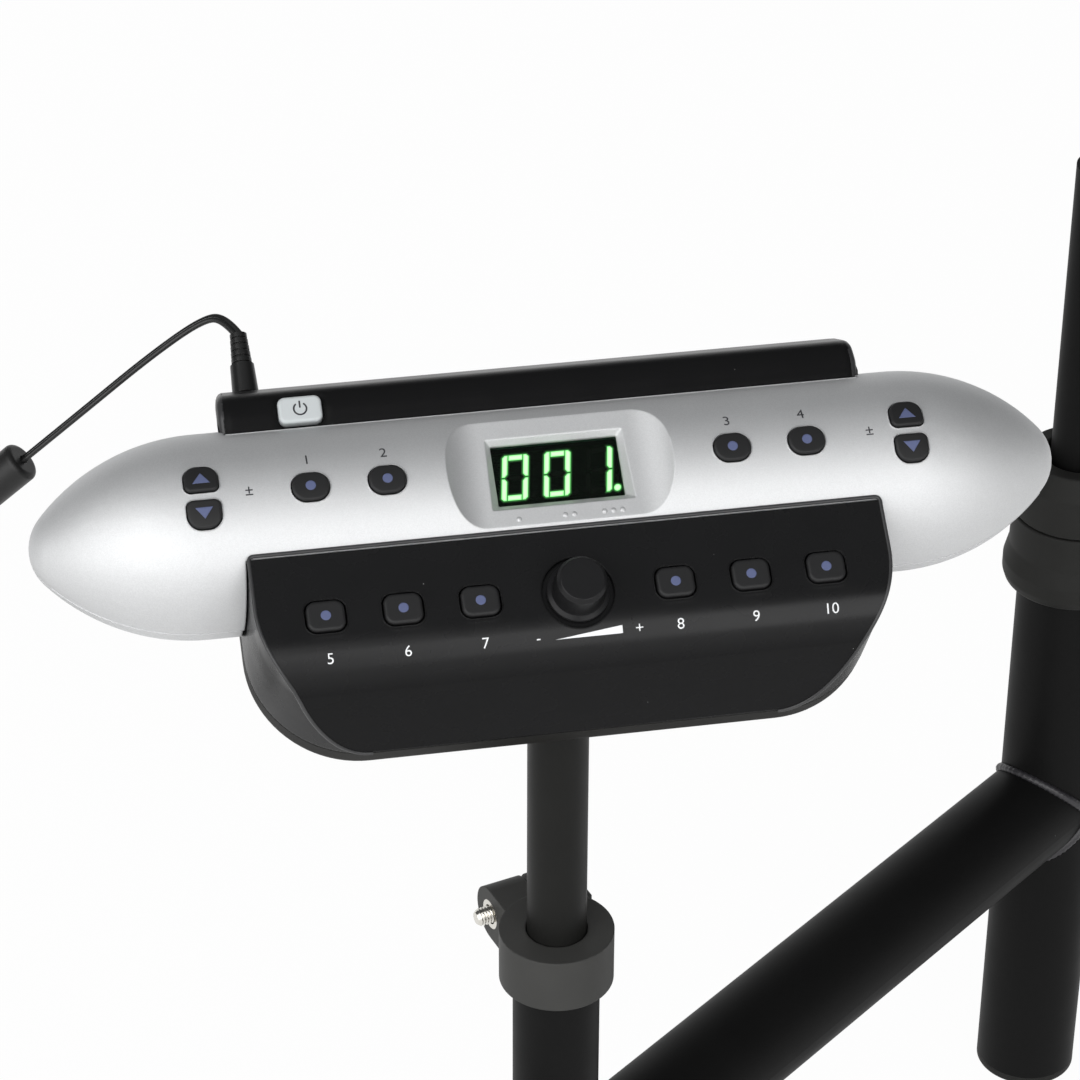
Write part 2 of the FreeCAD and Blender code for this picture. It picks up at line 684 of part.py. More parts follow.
# Base tub: lower tray with rounded bottom edge, bosses and standoffs.
tub_x = PANEL_FOOT_X
tub_plan = [(-TUB_REAR_X, TUB_REAR), (-tub_x, 0), (-tub_x, PANEL_FRONT_Y), (tub_x, PANEL_FRONT_Y),
            (tub_x, 0), (TUB_REAR_X, TUB_REAR)]
tub = prism(tub_plan, [TUB_REAR_R, 0, PANEL_CORNER_R, PANEL_CORNER_R, 0, TUB_REAR_R], TUB_FOOT, TUB_TOP)
bottom = [e for e in tub.Edges if max(abs(v.Z - TUB_FOOT) for v in e.Vertexes) < SEAM]
hollow_x = tub_x - TUB_WALL
hollow_front = PANEL_FRONT_Y + TUB_WALL
hollow_rear = TUB_REAR - TUB_WALL
hollow_rear_x = TUB_REAR_X - TUB_WALL
hollow_plan = [(-hollow_rear_x, hollow_rear), (-hollow_x, 0), (-hollow_x, hollow_front),
               (hollow_x, hollow_front), (hollow_x, 0), (hollow_rear_x, hollow_rear)]
hollow_corner = PANEL_CORNER_R - TUB_WALL
hollow_r = [TUB_REAR_R - TUB_WALL, 0, hollow_corner, hollow_corner, 0, TUB_REAR_R - TUB_WALL]
hollow = prism(hollow_plan, hollow_r, TUB_FOOT + TUB_WALL, TUB_TOP + SEAM)
tub = tub.makeFillet(TUB_EDGE_R, [e for e in bottom if e.BoundBox.YMin < TUB_REAR - TUB_REAR_R - SEAM])
tub = tub.cut(hollow)
floor = TUB_FOOT + TUB_WALL
adds = [rod(STANDOFF_R, x, y, floor - SEAM, MAIN_BOARD_Z) for x, y in standoffs]
adds += [rod(HOUSING_BOSS_R, x, y, floor - SEAM, TUB_TOP) for x, y in tub_screws_front + tub_screws_rear]
adds += [rod(MOUNT_BOSS_R, x, y, floor - SEAM, MOUNT_BOSS_TOP) for x, y in mount_spots]
tub = tub.fuse(adds)
cuts = [rod(PILOT_R, x, y, main_board_top - BOARD_SCREW_L - PILOT_SPARE, MAIN_BOARD_Z) for x, y in standoffs]
cuts += [rod(HOUSING_PILOT_R, x, y, TUB_FOOT, TUB_TOP) for x, y in tub_screws_front + tub_screws_rear]
cuts += [rod(MOUNT_PILOT_R, x, y, TUB_FOOT, MOUNT_BOSS_TOP) for x, y in mount_spots]
keep_seated("base_tub", tub.cut(cuts))

# Rear cover: black spine with power button opening and socket holes.
cover_line = [(COVER_FRONT, COVER_FOOT)] + COVER_LINE + [(COVER_REAR, COVER_FOOT)]
cover_high = BODY_R
cover_top = max(z for y, z in COVER_LINE)
cover_lean = (COVER_X - COVER_FOOT_X) / (cover_top - COVER_FOOT)


def cover_room(wall):
    """Room between the leaning end faces of the rear cover, less a wall."""
    low_x = COVER_FOOT_X - wall - SEAM * cover_lean
    high_x = COVER_FOOT_X - wall + (cover_high - COVER_FOOT) * cover_lean
    low = COVER_FOOT - SEAM
    outline = [(-low_x, low), (low_x, low), (high_x, cover_high), (-high_x, cover_high)]
    face = Part.Face(rounded(outline, [0] * 4, turned))
    face.translate(V(0, COVER_FRONT - SEAM, 0))
    return face.extrude(V(0, COVER_REAR - COVER_FRONT + SEAM + SEAM, 0))


cover_outer = across(cover_line, [0] + COVER_LINE_R + [0], COVER_X).common(cover_room(0))
cover_face = Part.Face(rounded(cover_line, [0] + COVER_LINE_R + [0], side))
inner_wire = cover_face.OuterWire.makeOffset2D(-SHELL_WALL)
inner_face = Part.Face(inner_wire)
inner_face.translate(V(-COVER_X, 0, 0))
cover_inner = inner_face.extrude(V(COVER_X + COVER_X, 0, 0))
low_open = block(-COVER_X, COVER_X, COVER_FRONT - SEAM, COVER_REAR - SHELL_WALL, COVER_FOOT - SEAM,
                 COVER_FOOT + SHELL_WALL + SEAM)
front_open = block(-COVER_X, COVER_X, COVER_FRONT - SEAM, COVER_OPEN_Y, COVER_FOOT - SEAM, COVER_OPEN_Z)
in_room = cover_room(SHELL_WALL)
cover = cover_outer.cut([cover_inner.common(in_room), low_open.common(in_room), front_open.common(in_room)])
adds = [rod(HOUSING_BOSS_R, x, y, TUB_TOP, cover_high) for x, y in tub_screws_rear]
trim = block(-COVER_X, COVER_X, COVER_FRONT, COVER_REAR, COVER_FOOT, cover_high).cut(cover_outer)
cover = cover.fuse([a.cut(trim) for a in adds])
cuts = [slab(POWER_X, POWER_Y, POWER_HALF_X + POWER_GAP, POWER_HALF_Y + POWER_GAP, POWER_R + POWER_GAP,
             POWER_FOOT, cover_high)]
wall_in = COVER_REAR - drop
cuts += [rod_y(JACK_NOSE_R + SEAM, x, JACK_Z, wall_in, COVER_REAR + SEAM) for x in JACK_X]
cuts.append(rod_y(DC_HOLE_R, DC_X, DC_Z, wall_in, COVER_REAR + SEAM))
socket_x = HARNESS_NOSE_X + SEAM
socket_z = HARNESS_NOSE_Z + SEAM
cuts.append(block(HARNESS_X - socket_x, HARNESS_X + socket_x, wall_in, COVER_REAR + SEAM,
                  JACK_Z - socket_z, JACK_Z + socket_z))
for x, y in tub_screws_rear:
    cuts.append(rod(HOUSING_PILOT_R, x, y, TUB_TOP, TUB_FOOT + HOUSING_SCREW_L + PILOT_SPARE))
keep_seated("rear_cover", cover.cut(cuts))

# Display: dark filter and digit module.
keep_seated("display_window", slab(0, WINDOW_UP, WINDOW_X, WINDOW_Y, WINDOW_T, display_top, SEAT_Z))
keep_seated("led_display", block(-DISPLAY_X, DISPLAY_X, WINDOW_UP - DISPLAY_Y, WINDOW_UP + DISPLAY_Y,
                                 upper_board_top, display_top))

# Silver keys: stems that follow the body, each with a retaining flange.
crown = airship(KEY_PROUD, 180)
for name, kind in silver_keys.items():
    points, radii = key_form(kind, 0)
    key = prism(points, radii, KEY_FOOT_Z, BODY_R + KEY_PROUD + SHELL_WALL).common(crown).removeSplitter()
    rims = [e for e in key.Edges if e.BoundBox.ZMin > KEY_RIM_Z]
    rims = [e for e in rims if e.BoundBox.XLength > SEAM or e.BoundBox.YLength < PAIR_HALF_Y + SEAM]
    key = key.makeFillet(KEY_EDGE, rims)
    points, radii = key_form(kind, KEY_FLANGE)
    key = key.fuse(prism(points, radii, KEY_FOOT_Z, KEY_FOOT_Z + KEY_FLANGE_T))
    keep_seated(name, key)

# Panel keys: rounded caps with a flange below the sleeve.
for number, x in enumerate(panel_key_x):
    key = slab(x, PANEL_KEY_Y, PANEL_KEY_X, PANEL_KEY_HALF_Y, PANEL_KEY_R, PANEL_KEY_FOOT, PANEL_KEY_TOP)
    rim = [e for e in key.Edges if min(v.Z for v in e.Vertexes) > PANEL_KEY_TOP - SEAM]
    key = key.makeFillet(PANEL_KEY_EDGE, rim)
    skirt = slab(x, PANEL_KEY_Y, PANEL_KEY_X + KEY_FLANGE, PANEL_KEY_HALF_Y + KEY_FLANGE,
                 PANEL_KEY_R + KEY_FLANGE, PANEL_KEY_FOOT, PANEL_KEY_FOOT + KEY_FLANGE_T)
    keep_seated("panel_key_" + str(number + 1), key.fuse(skirt))

# Power button with stem, and the switch below it.
button = slab(POWER_X, POWER_Y, POWER_HALF_X, POWER_HALF_Y, POWER_R, POWER_FOOT, POWER_TOP)
rim = [e for e in button.Edges if min(v.Z for v in e.Vertexes) > POWER_TOP - SEAM]
button = button.makeFillet(POWER_FLANGE_T, rim)
skirt = slab(POWER_X, POWER_Y, POWER_HALF_X + KEY_FLANGE, POWER_HALF_Y + KEY_FLANGE, POWER_R + KEY_FLANGE,
             POWER_FOOT - POWER_FLANGE_T, POWER_FOOT)
stem = rod(POWER_STEM_R, POWER_X, POWER_Y, POWER_STEM_Z, POWER_FOOT)
keep_seated("power_button", button.fuse([skirt, stem]))
switch = block(POWER_X - SWITCH_HALF_X, POWER_X + SWITCH_HALF_X, POWER_Y - SWITCH_HALF_Y,
               POWER_Y + SWITCH_HALF_Y, main_board_top, SWITCH_TOP)
keep_seated("power_switch", switch.fuse(rod(PLUNGER_R, POWER_X, POWER_Y, SWITCH_TOP, PLUNGER_TOP)))

# Volume knob, shaft and pot.
knob = spun([(KNOB_BORE_R, KNOB_FOOT), (KNOB_FLANGE_R, KNOB_FOOT), (KNOB_FLANGE_R, KNOB_FLANGE_TOP),
             (KNOB_WAIST_R, KNOB_WAIST_Z), (KNOB_TOP_R, KNOB_SHOULDER_Z), (KNOB_CROWN_R, KNOB_TOP),
             (0, KNOB_TOP), (0, SHAFT_TOP), (KNOB_BORE_R, SHAFT_TOP)],
            [0, SEAM, SEAM, SEAM, SEAM, SEAM, 0, 0, 0])
knob.translate(V(0, PANEL_KEY_Y, 0))
keep_seated("volume_knob", knob)
keep_seated("pot_shaft", rod(SHAFT_R, 0, PANEL_KEY_Y, SHAFT_FOOT, SHAFT_TOP))
pot = block(-POT_HALF_X, POT_HALF_X, PANEL_KEY_Y - POT_HALF_Y, PANEL_KEY_Y + POT_HALF_Y, front_board_top,
            front_board_top + POT_H)
pot = pot.fuse(rod(POT_NECK_R, 0, PANEL_KEY_Y, front_board_top + POT_H, POT_NECK_TOP))
pot = pot.cut(rod(POT_BORE_R, 0, PANEL_KEY_Y, SHAFT_FOOT - SEAM, POT_NECK_TOP))
keep_seated("volume_pot", pot)

# Boards and rubber mats.
upper_board = slab(0, 0, UPPER_BOARD_X, UPPER_BOARD_Y, UPPER_BOARD_R, UPPER_BOARD_Z, upper_board_top)
holes = [rod(PILOT_R, x, y, UPPER_BOARD_Z, upper_board_top) for x, y in upper_bosses]
keep_seated("upper_key_board", upper_board.cut(holes))
front_mid = (FRONT_BOARD_REAR + FRONT_BOARD_FRONT) / 2
front_half = (FRONT_BOARD_REAR - FRONT_BOARD_FRONT) / 2
front_board = slab(0, front_mid, FRONT_BOARD_X, front_half, UPPER_BOARD_R, FRONT_BOARD_Z, front_board_top)
holes = [rod(PILOT_R, x, y, FRONT_BOARD_Z, front_board_top) for x, y in front_bosses]
keep_seated("front_key_board", front_board.cut(holes))
main_mid = (MAIN_BOARD_FRONT + MAIN_BOARD_REAR) / 2
main_half = (MAIN_BOARD_REAR - MAIN_BOARD_FRONT) / 2
main_board = slab(0, main_mid, MAIN_BOARD_X, main_half, UPPER_BOARD_R, MAIN_BOARD_Z, main_board_top)
holes = [rod(PILOT_R, x, y, MAIN_BOARD_Z, main_board_top) for x, y in standoffs]
holes += [rod(HOUSING_BOSS_R + KEY_GAP, x, y, MAIN_BOARD_Z, main_board_top) for x, y in tub_screws_rear]
keep_seated("main_board", main_board.cut(holes))
mats = []
mat_mid = (MAT_IN_X + MAT_OUT_X) / 2
mat_half = (MAT_OUT_X - MAT_IN_X) / 2
for sign in (-1, 1):
    mat = slab(sign * mat_mid, 0, mat_half, MAT_HALF_Y, MAT_R, upper_board_top, upper_board_top + MAT_T)
    spots = [kind for kind in silver_keys.values() if sign * kind[0] > 0]
    mat = mat.fuse([rod(DOME_R, kind[0], kind[1], upper_board_top, DOME_TOP_Z) for kind in spots])
    wells = [rod(BOARD_BOSS_R + KEY_GAP, x, y, upper_board_top, DOME_TOP_Z) for x, y in upper_bosses]
    mats.append(mat.cut(wells))
keep("upper_keypad_mat", seated(Part.makeCompound(mats)))
mats = []
mat_mid = (FRONT_MAT_IN + FRONT_MAT_OUT) / 2
mat_half = (FRONT_MAT_OUT - FRONT_MAT_IN) / 2
for sign in (-1, 1):
    mat = slab(sign * mat_mid, PANEL_KEY_Y, mat_half, FRONT_MAT_HALF, MAT_R, front_board_top,
               front_board_top + MAT_T)
    spots = [x for x in panel_key_x if sign * x > 0]
    mats.append(mat.fuse([rod(DOME_R, x, PANEL_KEY_Y, front_board_top, FRONT_DOME_Z) for x in spots]))
keep("front_keypad_mat", seated(Part.makeCompound(mats)))

# Sockets.
jacks = []
for x in JACK_X:
    jack = block(x - JACK_HALF, x + JACK_HALF, JACK_FRONT, JACK_BACK, main_board_top, JACK_TOP)
    jack = jack.fuse(rod_y(JACK_NOSE_R, x, JACK_Z, JACK_BACK, JACK_NOSE_END))
    jacks.append(jack.cut(rod_y(JACK_BORE_R, x, JACK_Z, JACK_BORE_FOOT, JACK_NOSE_END)))
keep("audio_jacks", seated(Part.makeCompound(jacks)))
harness = block(HARNESS_X - HARNESS_HALF_X, HARNESS_X + HARNESS_HALF_X, HARNESS_FRONT, JACK_BACK,
                main_board_top, JACK_TOP)
nose = block(HARNESS_X - HARNESS_NOSE_X, HARNESS_X + HARNESS_NOSE_X, JACK_BACK, HARNESS_NOSE_END,
             JACK_Z - HARNESS_NOSE_Z, JACK_Z + HARNESS_NOSE_Z)
pit_x = HARNESS_NOSE_X - HARNESS_RIM
pit_z = HARNESS_NOSE_Z - HARNESS_RIM
pit = block(HARNESS_X - pit_x, HARNESS_X + pit_x, HARNESS_DEEP, HARNESS_NOSE_END, JACK_Z - pit_z,
            JACK_Z + pit_z)
keep_seated("pad_harness_socket", harness.fuse(nose).cut(pit))
dc = block(DC_X - DC_HALF, DC_X + DC_HALF, DC_FRONT, JACK_BACK, main_board_top, DC_Z + DC_HALF)
dc = dc.cut(rod_y(DC_BORE_R, DC_X, DC_Z, DC_BORE_FOOT, JACK_BACK))
dc = dc.fuse(rod_y(DC_PIN_R, DC_X, DC_Z, DC_BORE_FOOT - SEAM, DC_PIN_END))
keep_seated("dc_jack", dc)


def screw(r, length, head_r, head_t, spot, way):
    """Screw with its head below the spot and its shank running the given way."""
    head = Part.makeCylinder(head_r, head_t, spot, way * -1)
    return head.fuse(Part.makeCylinder(r, length, spot, way)).removeSplitter()


UP = V(0, 0, 1)
DOWN = V(0, 0, -1)
screws = [screw(HOUSING_SCREW_R, HOUSING_SCREW_L, HOUSING_HEAD_R, HOUSING_HEAD_T, V(x, y, TUB_FOOT), UP)
          for x, y in tub_screws_front + tub_screws_rear]
screws += [screw(HOUSING_SCREW_R, HOUSING_SCREW_L, HOUSING_HEAD_R, HOUSING_HEAD_T, V(x, 0, END_SCREW_Z), UP)
           for x in (-END_SCREW_X, END_SCREW_X)]
keep("housing_screws", seated(Part.makeCompound(screws)))
screws = [screw(BOARD_SCREW_R, BOARD_SCREW_L, BOARD_HEAD_R, BOARD_HEAD_T, V(x, y, UPPER_BOARD_Z), UP)
          for x, y in upper_bosses]
screws += [screw(BOARD_SCREW_R, BOARD_SCREW_L, BOARD_HEAD_R, BOARD_HEAD_T, V(x, y, FRONT_BOARD_Z), UP)
           for x, y in front_bosses]
screws += [screw(BOARD_SCREW_R, BOARD_SCREW_L, BOARD_HEAD_R, BOARD_HEAD_T, V(x, y, main_board_top), DOWN)
           for x, y in standoffs]
keep("board_screws", seated(Part.makeCompound(screws)))

# Mount flange under the tub, with its screws, and the post welded to it.
flange_foot = TUB_FOOT - FLANGE_T
flange = slab(0, FLANGE_Y, FLANGE_HALF_X, FLANGE_HALF_Y, FLANGE_R, flange_foot, TUB_FOOT)
holes = [rod(MOUNT_PILOT_R, x, y, flange_foot, TUB_FOOT) for x, y in mount_spots]
keep_seated("mount_flange", flange.cut(holes))
screws = [screw(MOUNT_SCREW_R, MOUNT_SCREW_L, MOUNT_HEAD_R, MOUNT_HEAD_T, V(x, y, flange_foot), UP)
          for x, y in mount_spots]
keep("mount_screws", seated(Part.makeCompound(screws)))
post_x = MODULE_X
post_y = MODULE_Y + POST_BACK
post = rod(POST_R, post_x, post_y, POST_FOOT, MODULE_Z).cut(
    rod(POST_R - POST_WALL, post_x, post_y, POST_FOOT, MODULE_Z))
above = seated(block(-PANEL_X, PANEL_X, PANEL_FRONT_Y + PANEL_FRONT_Y, PANEL_X, flange_foot, MODULE_Z))
keep("module_post", post.cut(above))

# Clamp: split ring with an ear block, its bolt and its nut.
ring_top = RING_FOOT + RING_H
ear_z = RING_FOOT + RING_H / 2
ring = rod(RING_R, 0, 0, RING_FOOT, ring_top)
ear = Part.makeCylinder(EAR_R, EAR_RIGHT - EAR_LEFT, V(EAR_LEFT, EAR_BACK, ear_z), V(1, 0, 0))
web = block(EAR_LEFT, EAR_RIGHT, RING_BORE, EAR_BACK, ear_z - EAR_R, ear_z + EAR_R)
ring = ring.fuse([ear, web])
bolt_way = V(1, 0, 0)
cuts = [rod(RING_BORE, 0, 0, RING_FOOT, ring_top),
        block(SLIT_X - SLIT_HALF, SLIT_X + SLIT_HALF, 0, EAR_BACK + EAR_R + SEAM, RING_FOOT, ring_top),
        Part.makeCylinder(BOLT_R + BOLT_GAP, EAR_RIGHT - EAR_LEFT, V(EAR_LEFT, EAR_BACK, ear_z), bolt_way),
        Part.makeCylinder(BOLT_HEAD_R + BOLT_HEAD_GAP, BOLT_HEAD_T + BOLT_HEAD_GAP,
                          V(EAR_RIGHT - BOLT_HEAD_T - BOLT_HEAD_GAP, EAR_BACK, ear_z), bolt_way),
        Part.makeCylinder(NUT_R, NUT_T, V(EAR_LEFT, EAR_BACK, ear_z), bolt_way)]
ring = ring.cut(cuts).removeSplitter()
ring.rotate(V(0, 0, 0), V(0, 0, 1), CLAMP_TURN)
ring.translate(V(post_x, post_y, 0))
keep("clamp_collar", ring)
head_face = EAR_RIGHT - BOLT_HEAD_T
bolt = Part.makeCylinder(BOLT_R, head_face + BOLT_END, V(-BOLT_END, EAR_BACK, ear_z), bolt_way)
bolt = bolt.fuse(Part.makeCylinder(BOLT_HEAD_R, BOLT_HEAD_T, V(head_face, EAR_BACK, ear_z), bolt_way))
key_corners = [V(EAR_RIGHT - BOLT_KEY_DEEP, EAR_BACK + BOLT_KEY_R * math.cos(math.pi * k / 3),
                 ear_z + BOLT_KEY_R * math.sin(math.pi * k / 3)) for k in range(6)]
key_hole = Part.Face(Part.makePolygon(key_corners + key_corners[:1])).extrude(V(BOLT_KEY_DEEP, 0, 0))
bolt = bolt.cut(key_hole).removeSplitter()
bolt.rotate(V(0, 0, 0), V(0, 0, 1), CLAMP_TURN)
bolt.translate(V(post_x, post_y, 0))
keep("clamp_bolt", bolt)
nut = Part.makeCylinder(NUT_R, NUT_T, V(EAR_LEFT, EAR_BACK, ear_z), bolt_way)
nut = nut.cut(Part.makeCylinder(BOLT_R + BOLT_GAP, NUT_T, V(EAR_LEFT, EAR_BACK, ear_z), bolt_way))
nut.rotate(V(0, 0, 0), V(0, 0, 1), CLAMP_TURN)
nut.translate(V(post_x, post_y, 0))
keep("clamp_nut", nut)

# Rack corner: upright, cross tube, receiver and plastic parts.
cross_way = V(post_x, post_y, 0)
cross_reach = cross_way.Length + CROSS_OVER
cross_way.normalize()
cross_start = V(0, 0, CROSS_Z)
screw_z = UPRIGHT_TOP - SCREW_DEEP
upright = rod(UPRIGHT_R, 0, 0, UPRIGHT_FOOT, UPRIGHT_TOP).cut(
    rod(UPRIGHT_R - UPRIGHT_WALL, 0, 0, UPRIGHT_FOOT, UPRIGHT_TOP))
screw_turn = math.radians(SCREW_ANGLE)
screw_way = V(math.cos(screw_turn), math.sin(screw_turn), 0)
screw_hole = Part.makeCylinder(SCREW_R + SCREW_GAP, SCREW_NECK + SCREW_NECK, V(0, 0, screw_z), screw_way)
keep("upright_tube", upright.cut(screw_hole))
cross = Part.makeCylinder(CROSS_R, cross_reach, cross_start, cross_way)
cross = cross.cut([Part.makeCylinder(CROSS_R - CROSS_WALL, cross_reach, cross_start, cross_way),
                   rod(UPRIGHT_R, 0, 0, 0, UPRIGHT_TOP)])
cross_parts = sorted(cross.Solids, key=lambda solid: solid.Volume)
keep("cross_tube", cross_parts[-1])
cap_spot = cross_start.add(cross_way * cross_reach)
cap = Part.makeCylinder(CROSS_R, CAP_FACE_T, cap_spot, cross_way)
rim = [e for e in cap.Edges if e.CenterOfMass.sub(cap_spot).dot(cross_way) > CAP_FACE_T - SEAM]
cap = cap.makeFillet(CAP_FACE_T / 2, [e for e in rim if len(e.Vertexes) == 1 and e.Length > CROSS_R])
inner_plug = Part.makeCylinder(PLUG_R, CAP_PLUG_L, cap_spot, cross_way * -1)
inner_plug = inner_plug.cut(Part.makeCylinder(PLUG_R - CAP_PLUG_WALL, CAP_PLUG_L, cap_spot, cross_way * -1))
keep("cross_tube_cap", cap.fuse(inner_plug).removeSplitter())
receiver = rod(RECEIVER_R, post_x, post_y, CROSS_Z, RECEIVER_TOP).cut(
    [rod(RECEIVER_BORE, post_x, post_y, CROSS_Z, RECEIVER_TOP),
     Part.makeCylinder(CROSS_R, cross_reach, cross_start, cross_way)])
keep("receiver_tube", receiver)
socket = spun([(SOCKET_BORE, 0), (UPRIGHT_R, 0), (UPRIGHT_R, UPRIGHT_FOOT), (PLUG_R, UPRIGHT_FOOT),
               (PLUG_R, SOCKET_H), (SOCKET_BORE, SOCKET_H)], [0, SEAM, 0, 0, 0, 0])
keep("leg_socket", socket)
body = spun([(SLEEVE_BORE, COLLAR_BODY[0][1])] + COLLAR_BODY + [(SLEEVE_BORE, COLLAR_BODY[-1][1])],
            [0] + COLLAR_BODY_R + [0])
body.translate(V(0, 0, UPRIGHT_TOP))
keep("collar_body", body.cut(screw_hole))
cap = spun(COLLAR_CAP + [(COLLAR_CAP[-1][0], CAP_STEP), (GUIDE_BORE, CAP_STEP), (GUIDE_BORE, -CAP_DEEP),
                         (PLUG_R, -CAP_DEEP), (PLUG_R, 0), (SLEEVE_BORE, 0),
                         (SLEEVE_BORE, COLLAR_CAP[0][1])], COLLAR_CAP_R + [0, SEAM, 0, 0, 0, 0, 0])
cap.translate(V(0, 0, UPRIGHT_TOP))
keep("collar_cap", cap.cut(screw_hole))
inner_foot = UPRIGHT_TOP - INNER_DEEP
inner_top = UPRIGHT_TOP + INNER_RISE
inner_tube = rod(INNER_R, 0, 0, inner_foot, inner_top)
keep("inner_tube", inner_tube.cut(rod(INNER_R - INNER_WALL, 0, 0, inner_foot, inner_top)))
hand = Part.makeCylinder(SCREW_R, SCREW_NECK - SCREW_TIP, V(SCREW_TIP, 0, 0), V(1, 0, 0))
knob_head = Part.makeCylinder(SCREW_HEAD_R, SCREW_HEAD_END - SCREW_NECK, V(SCREW_NECK, 0, 0), V(1, 0, 0))
lobes = []
for k in range(SCREW_LOBES):
    turn = 2 * math.pi * k / SCREW_LOBES
    reach = SCREW_HEAD_R + SCREW_LOBE_R * bend_share
    spot = V(SCREW_NECK, reach * math.cos(turn), reach * math.sin(turn))
    lobes.append(Part.makeCylinder(SCREW_LOBE_R, SCREW_HEAD_END - SCREW_NECK, spot, V(1, 0, 0)))
hand = hand.fuse(knob_head.cut(lobes)).removeSplitter()
hand.rotate(V(0, 0, 0), V(0, 0, 1), SCREW_ANGLE)
hand.translate(V(0, 0, screw_z))
keep("collar_hand_screw", hand)

# Power plug: barrel, body and ribbed strain relief.
plug_line = [(PLUG_BORE_R, PLUG_NOSE), (PLUG_NOSE_R, PLUG_NOSE), (PLUG_NOSE_R, PLUG_REAR),
             (PLUG_BODY_R, PLUG_REAR), (PLUG_SHOULDER_R, PLUG_SHOULDER)]
rib_pitch = (PLUG_TIP - PLUG_SHOULDER) / RIBS
for k in range(RIBS):
    r = RIB_FIRST_R + (RIB_LAST_R - RIB_FIRST_R) * k / (RIBS - 1)
    start = PLUG_SHOULDER + rib_pitch * k
    plug_line += [(r - RIB_GROOVE, start), (r - RIB_GROOVE, start + rib_pitch / 3),
                  (r, start + rib_pitch / 3), (r, start + rib_pitch)]
plug_line += [(0, PLUG_TIP), (0, PLUG_BORE_END), (PLUG_BORE_R, PLUG_BORE_END)]
plug = spun(plug_line, [0] * len(plug_line))
plug.rotate(V(0, 0, 0), V(1, 0, 0), -90)
plug.translate(V(DC_X, 0, DC_Z))


def stretch(name, points, r):
    """Round lead along straight runs joined by tangent arcs."""
    edges = []
    at = points[0]
    length = 0
    for i in range(1, len(points) - 1):
        back = points[i].sub(points[i - 1])
        ahead = points[i + 1].sub(points[i])
        reach = bend_share * min(back.Length, ahead.Length)
        half = back.getAngle(ahead) / 2
        radius = reach / math.tan(half)
        back.normalize()
        ahead.normalize()
        into = points[i].sub(back * reach)
        away = points[i].add(ahead * reach)
        lean = ahead.sub(back)
        lean.normalize()
        middle = points[i].add(lean * (radius / math.cos(half) - radius))
        edges.append(Part.LineSegment(at, into).toShape())
        edges.append(Part.Arc(into, middle, away).toShape())
        length += at.distanceToPoint(into) + radius * half * 2
        at = away
        print(name, "bend", i, "radius", round(radius, 2), "turn", round(math.degrees(half * 2), 1))
    edges.append(Part.LineSegment(at, points[-1]).toShape())
    length += at.distanceToPoint(points[-1])
    return swept(name, edges, r, length)


def swept(name, edges, r, length):
    """Tube of one round section along a smooth chain of edges."""
    path = Part.Wire(edges)
    first = edges[0]
    way = first.tangentAt(first.FirstParameter)
    ring_wire = Part.Wire(Part.Circle(first.valueAt(first.FirstParameter), way, r).toShape())
    tube = path.makePipeShell([ring_wire], True, False)
    ideal = math.pi * r * r * length
    print(name, "length", round(length, 1), "volume", round(tube.Volume, 1), "of", round(ideal, 1))
    return tube


centre = V(MODULE_X, MODULE_Y, MODULE_Z)
spin = FreeCAD.Rotation(V(1, 0, 0), MODULE_TILT)
plug_tip = centre.add(spin.multVec(V(DC_X, PLUG_TIP, DC_Z)))
lead_points = [centre.add(V(x, y, z)) for x, y, z in LEAD_POINTS]
lead_way = lead_points[0].sub(plug_tip)
lead_way.normalize()
lead_start = plug_tip.sub(lead_way * LEAD_SEAT)
lead_points = [lead_start] + lead_points
pocket = Part.makeCylinder(LEAD_R + TIE_GAP, PLUG_BODY_R, lead_start, lead_way)
keep("dc_plug", seated(plug.removeSplitter()).cut(pocket))
keep("lead_stretch", stretch("lead_stretch", lead_points, LEAD_R))

# Ferrite sleeve on the longest straight run.
ferrite_way = lead_points[5].sub(lead_points[4])
ferrite_mid = lead_points[4].add(ferrite_way * ferrite_share)
ferrite_way.normalize()
ferrite = spun([(FERRITE_BORE, -FERRITE_L / 2), (FERRITE_R, -FERRITE_L / 2), (FERRITE_R, FERRITE_L / 2),
                (FERRITE_BORE, FERRITE_L / 2)], [0, FERRITE_EDGE, FERRITE_EDGE, 0])
ferrite.Placement = FreeCAD.Placement(ferrite_mid, FreeCAD.Rotation(V(0, 0, 1), ferrite_way))
keep("ferrite_core", ferrite)

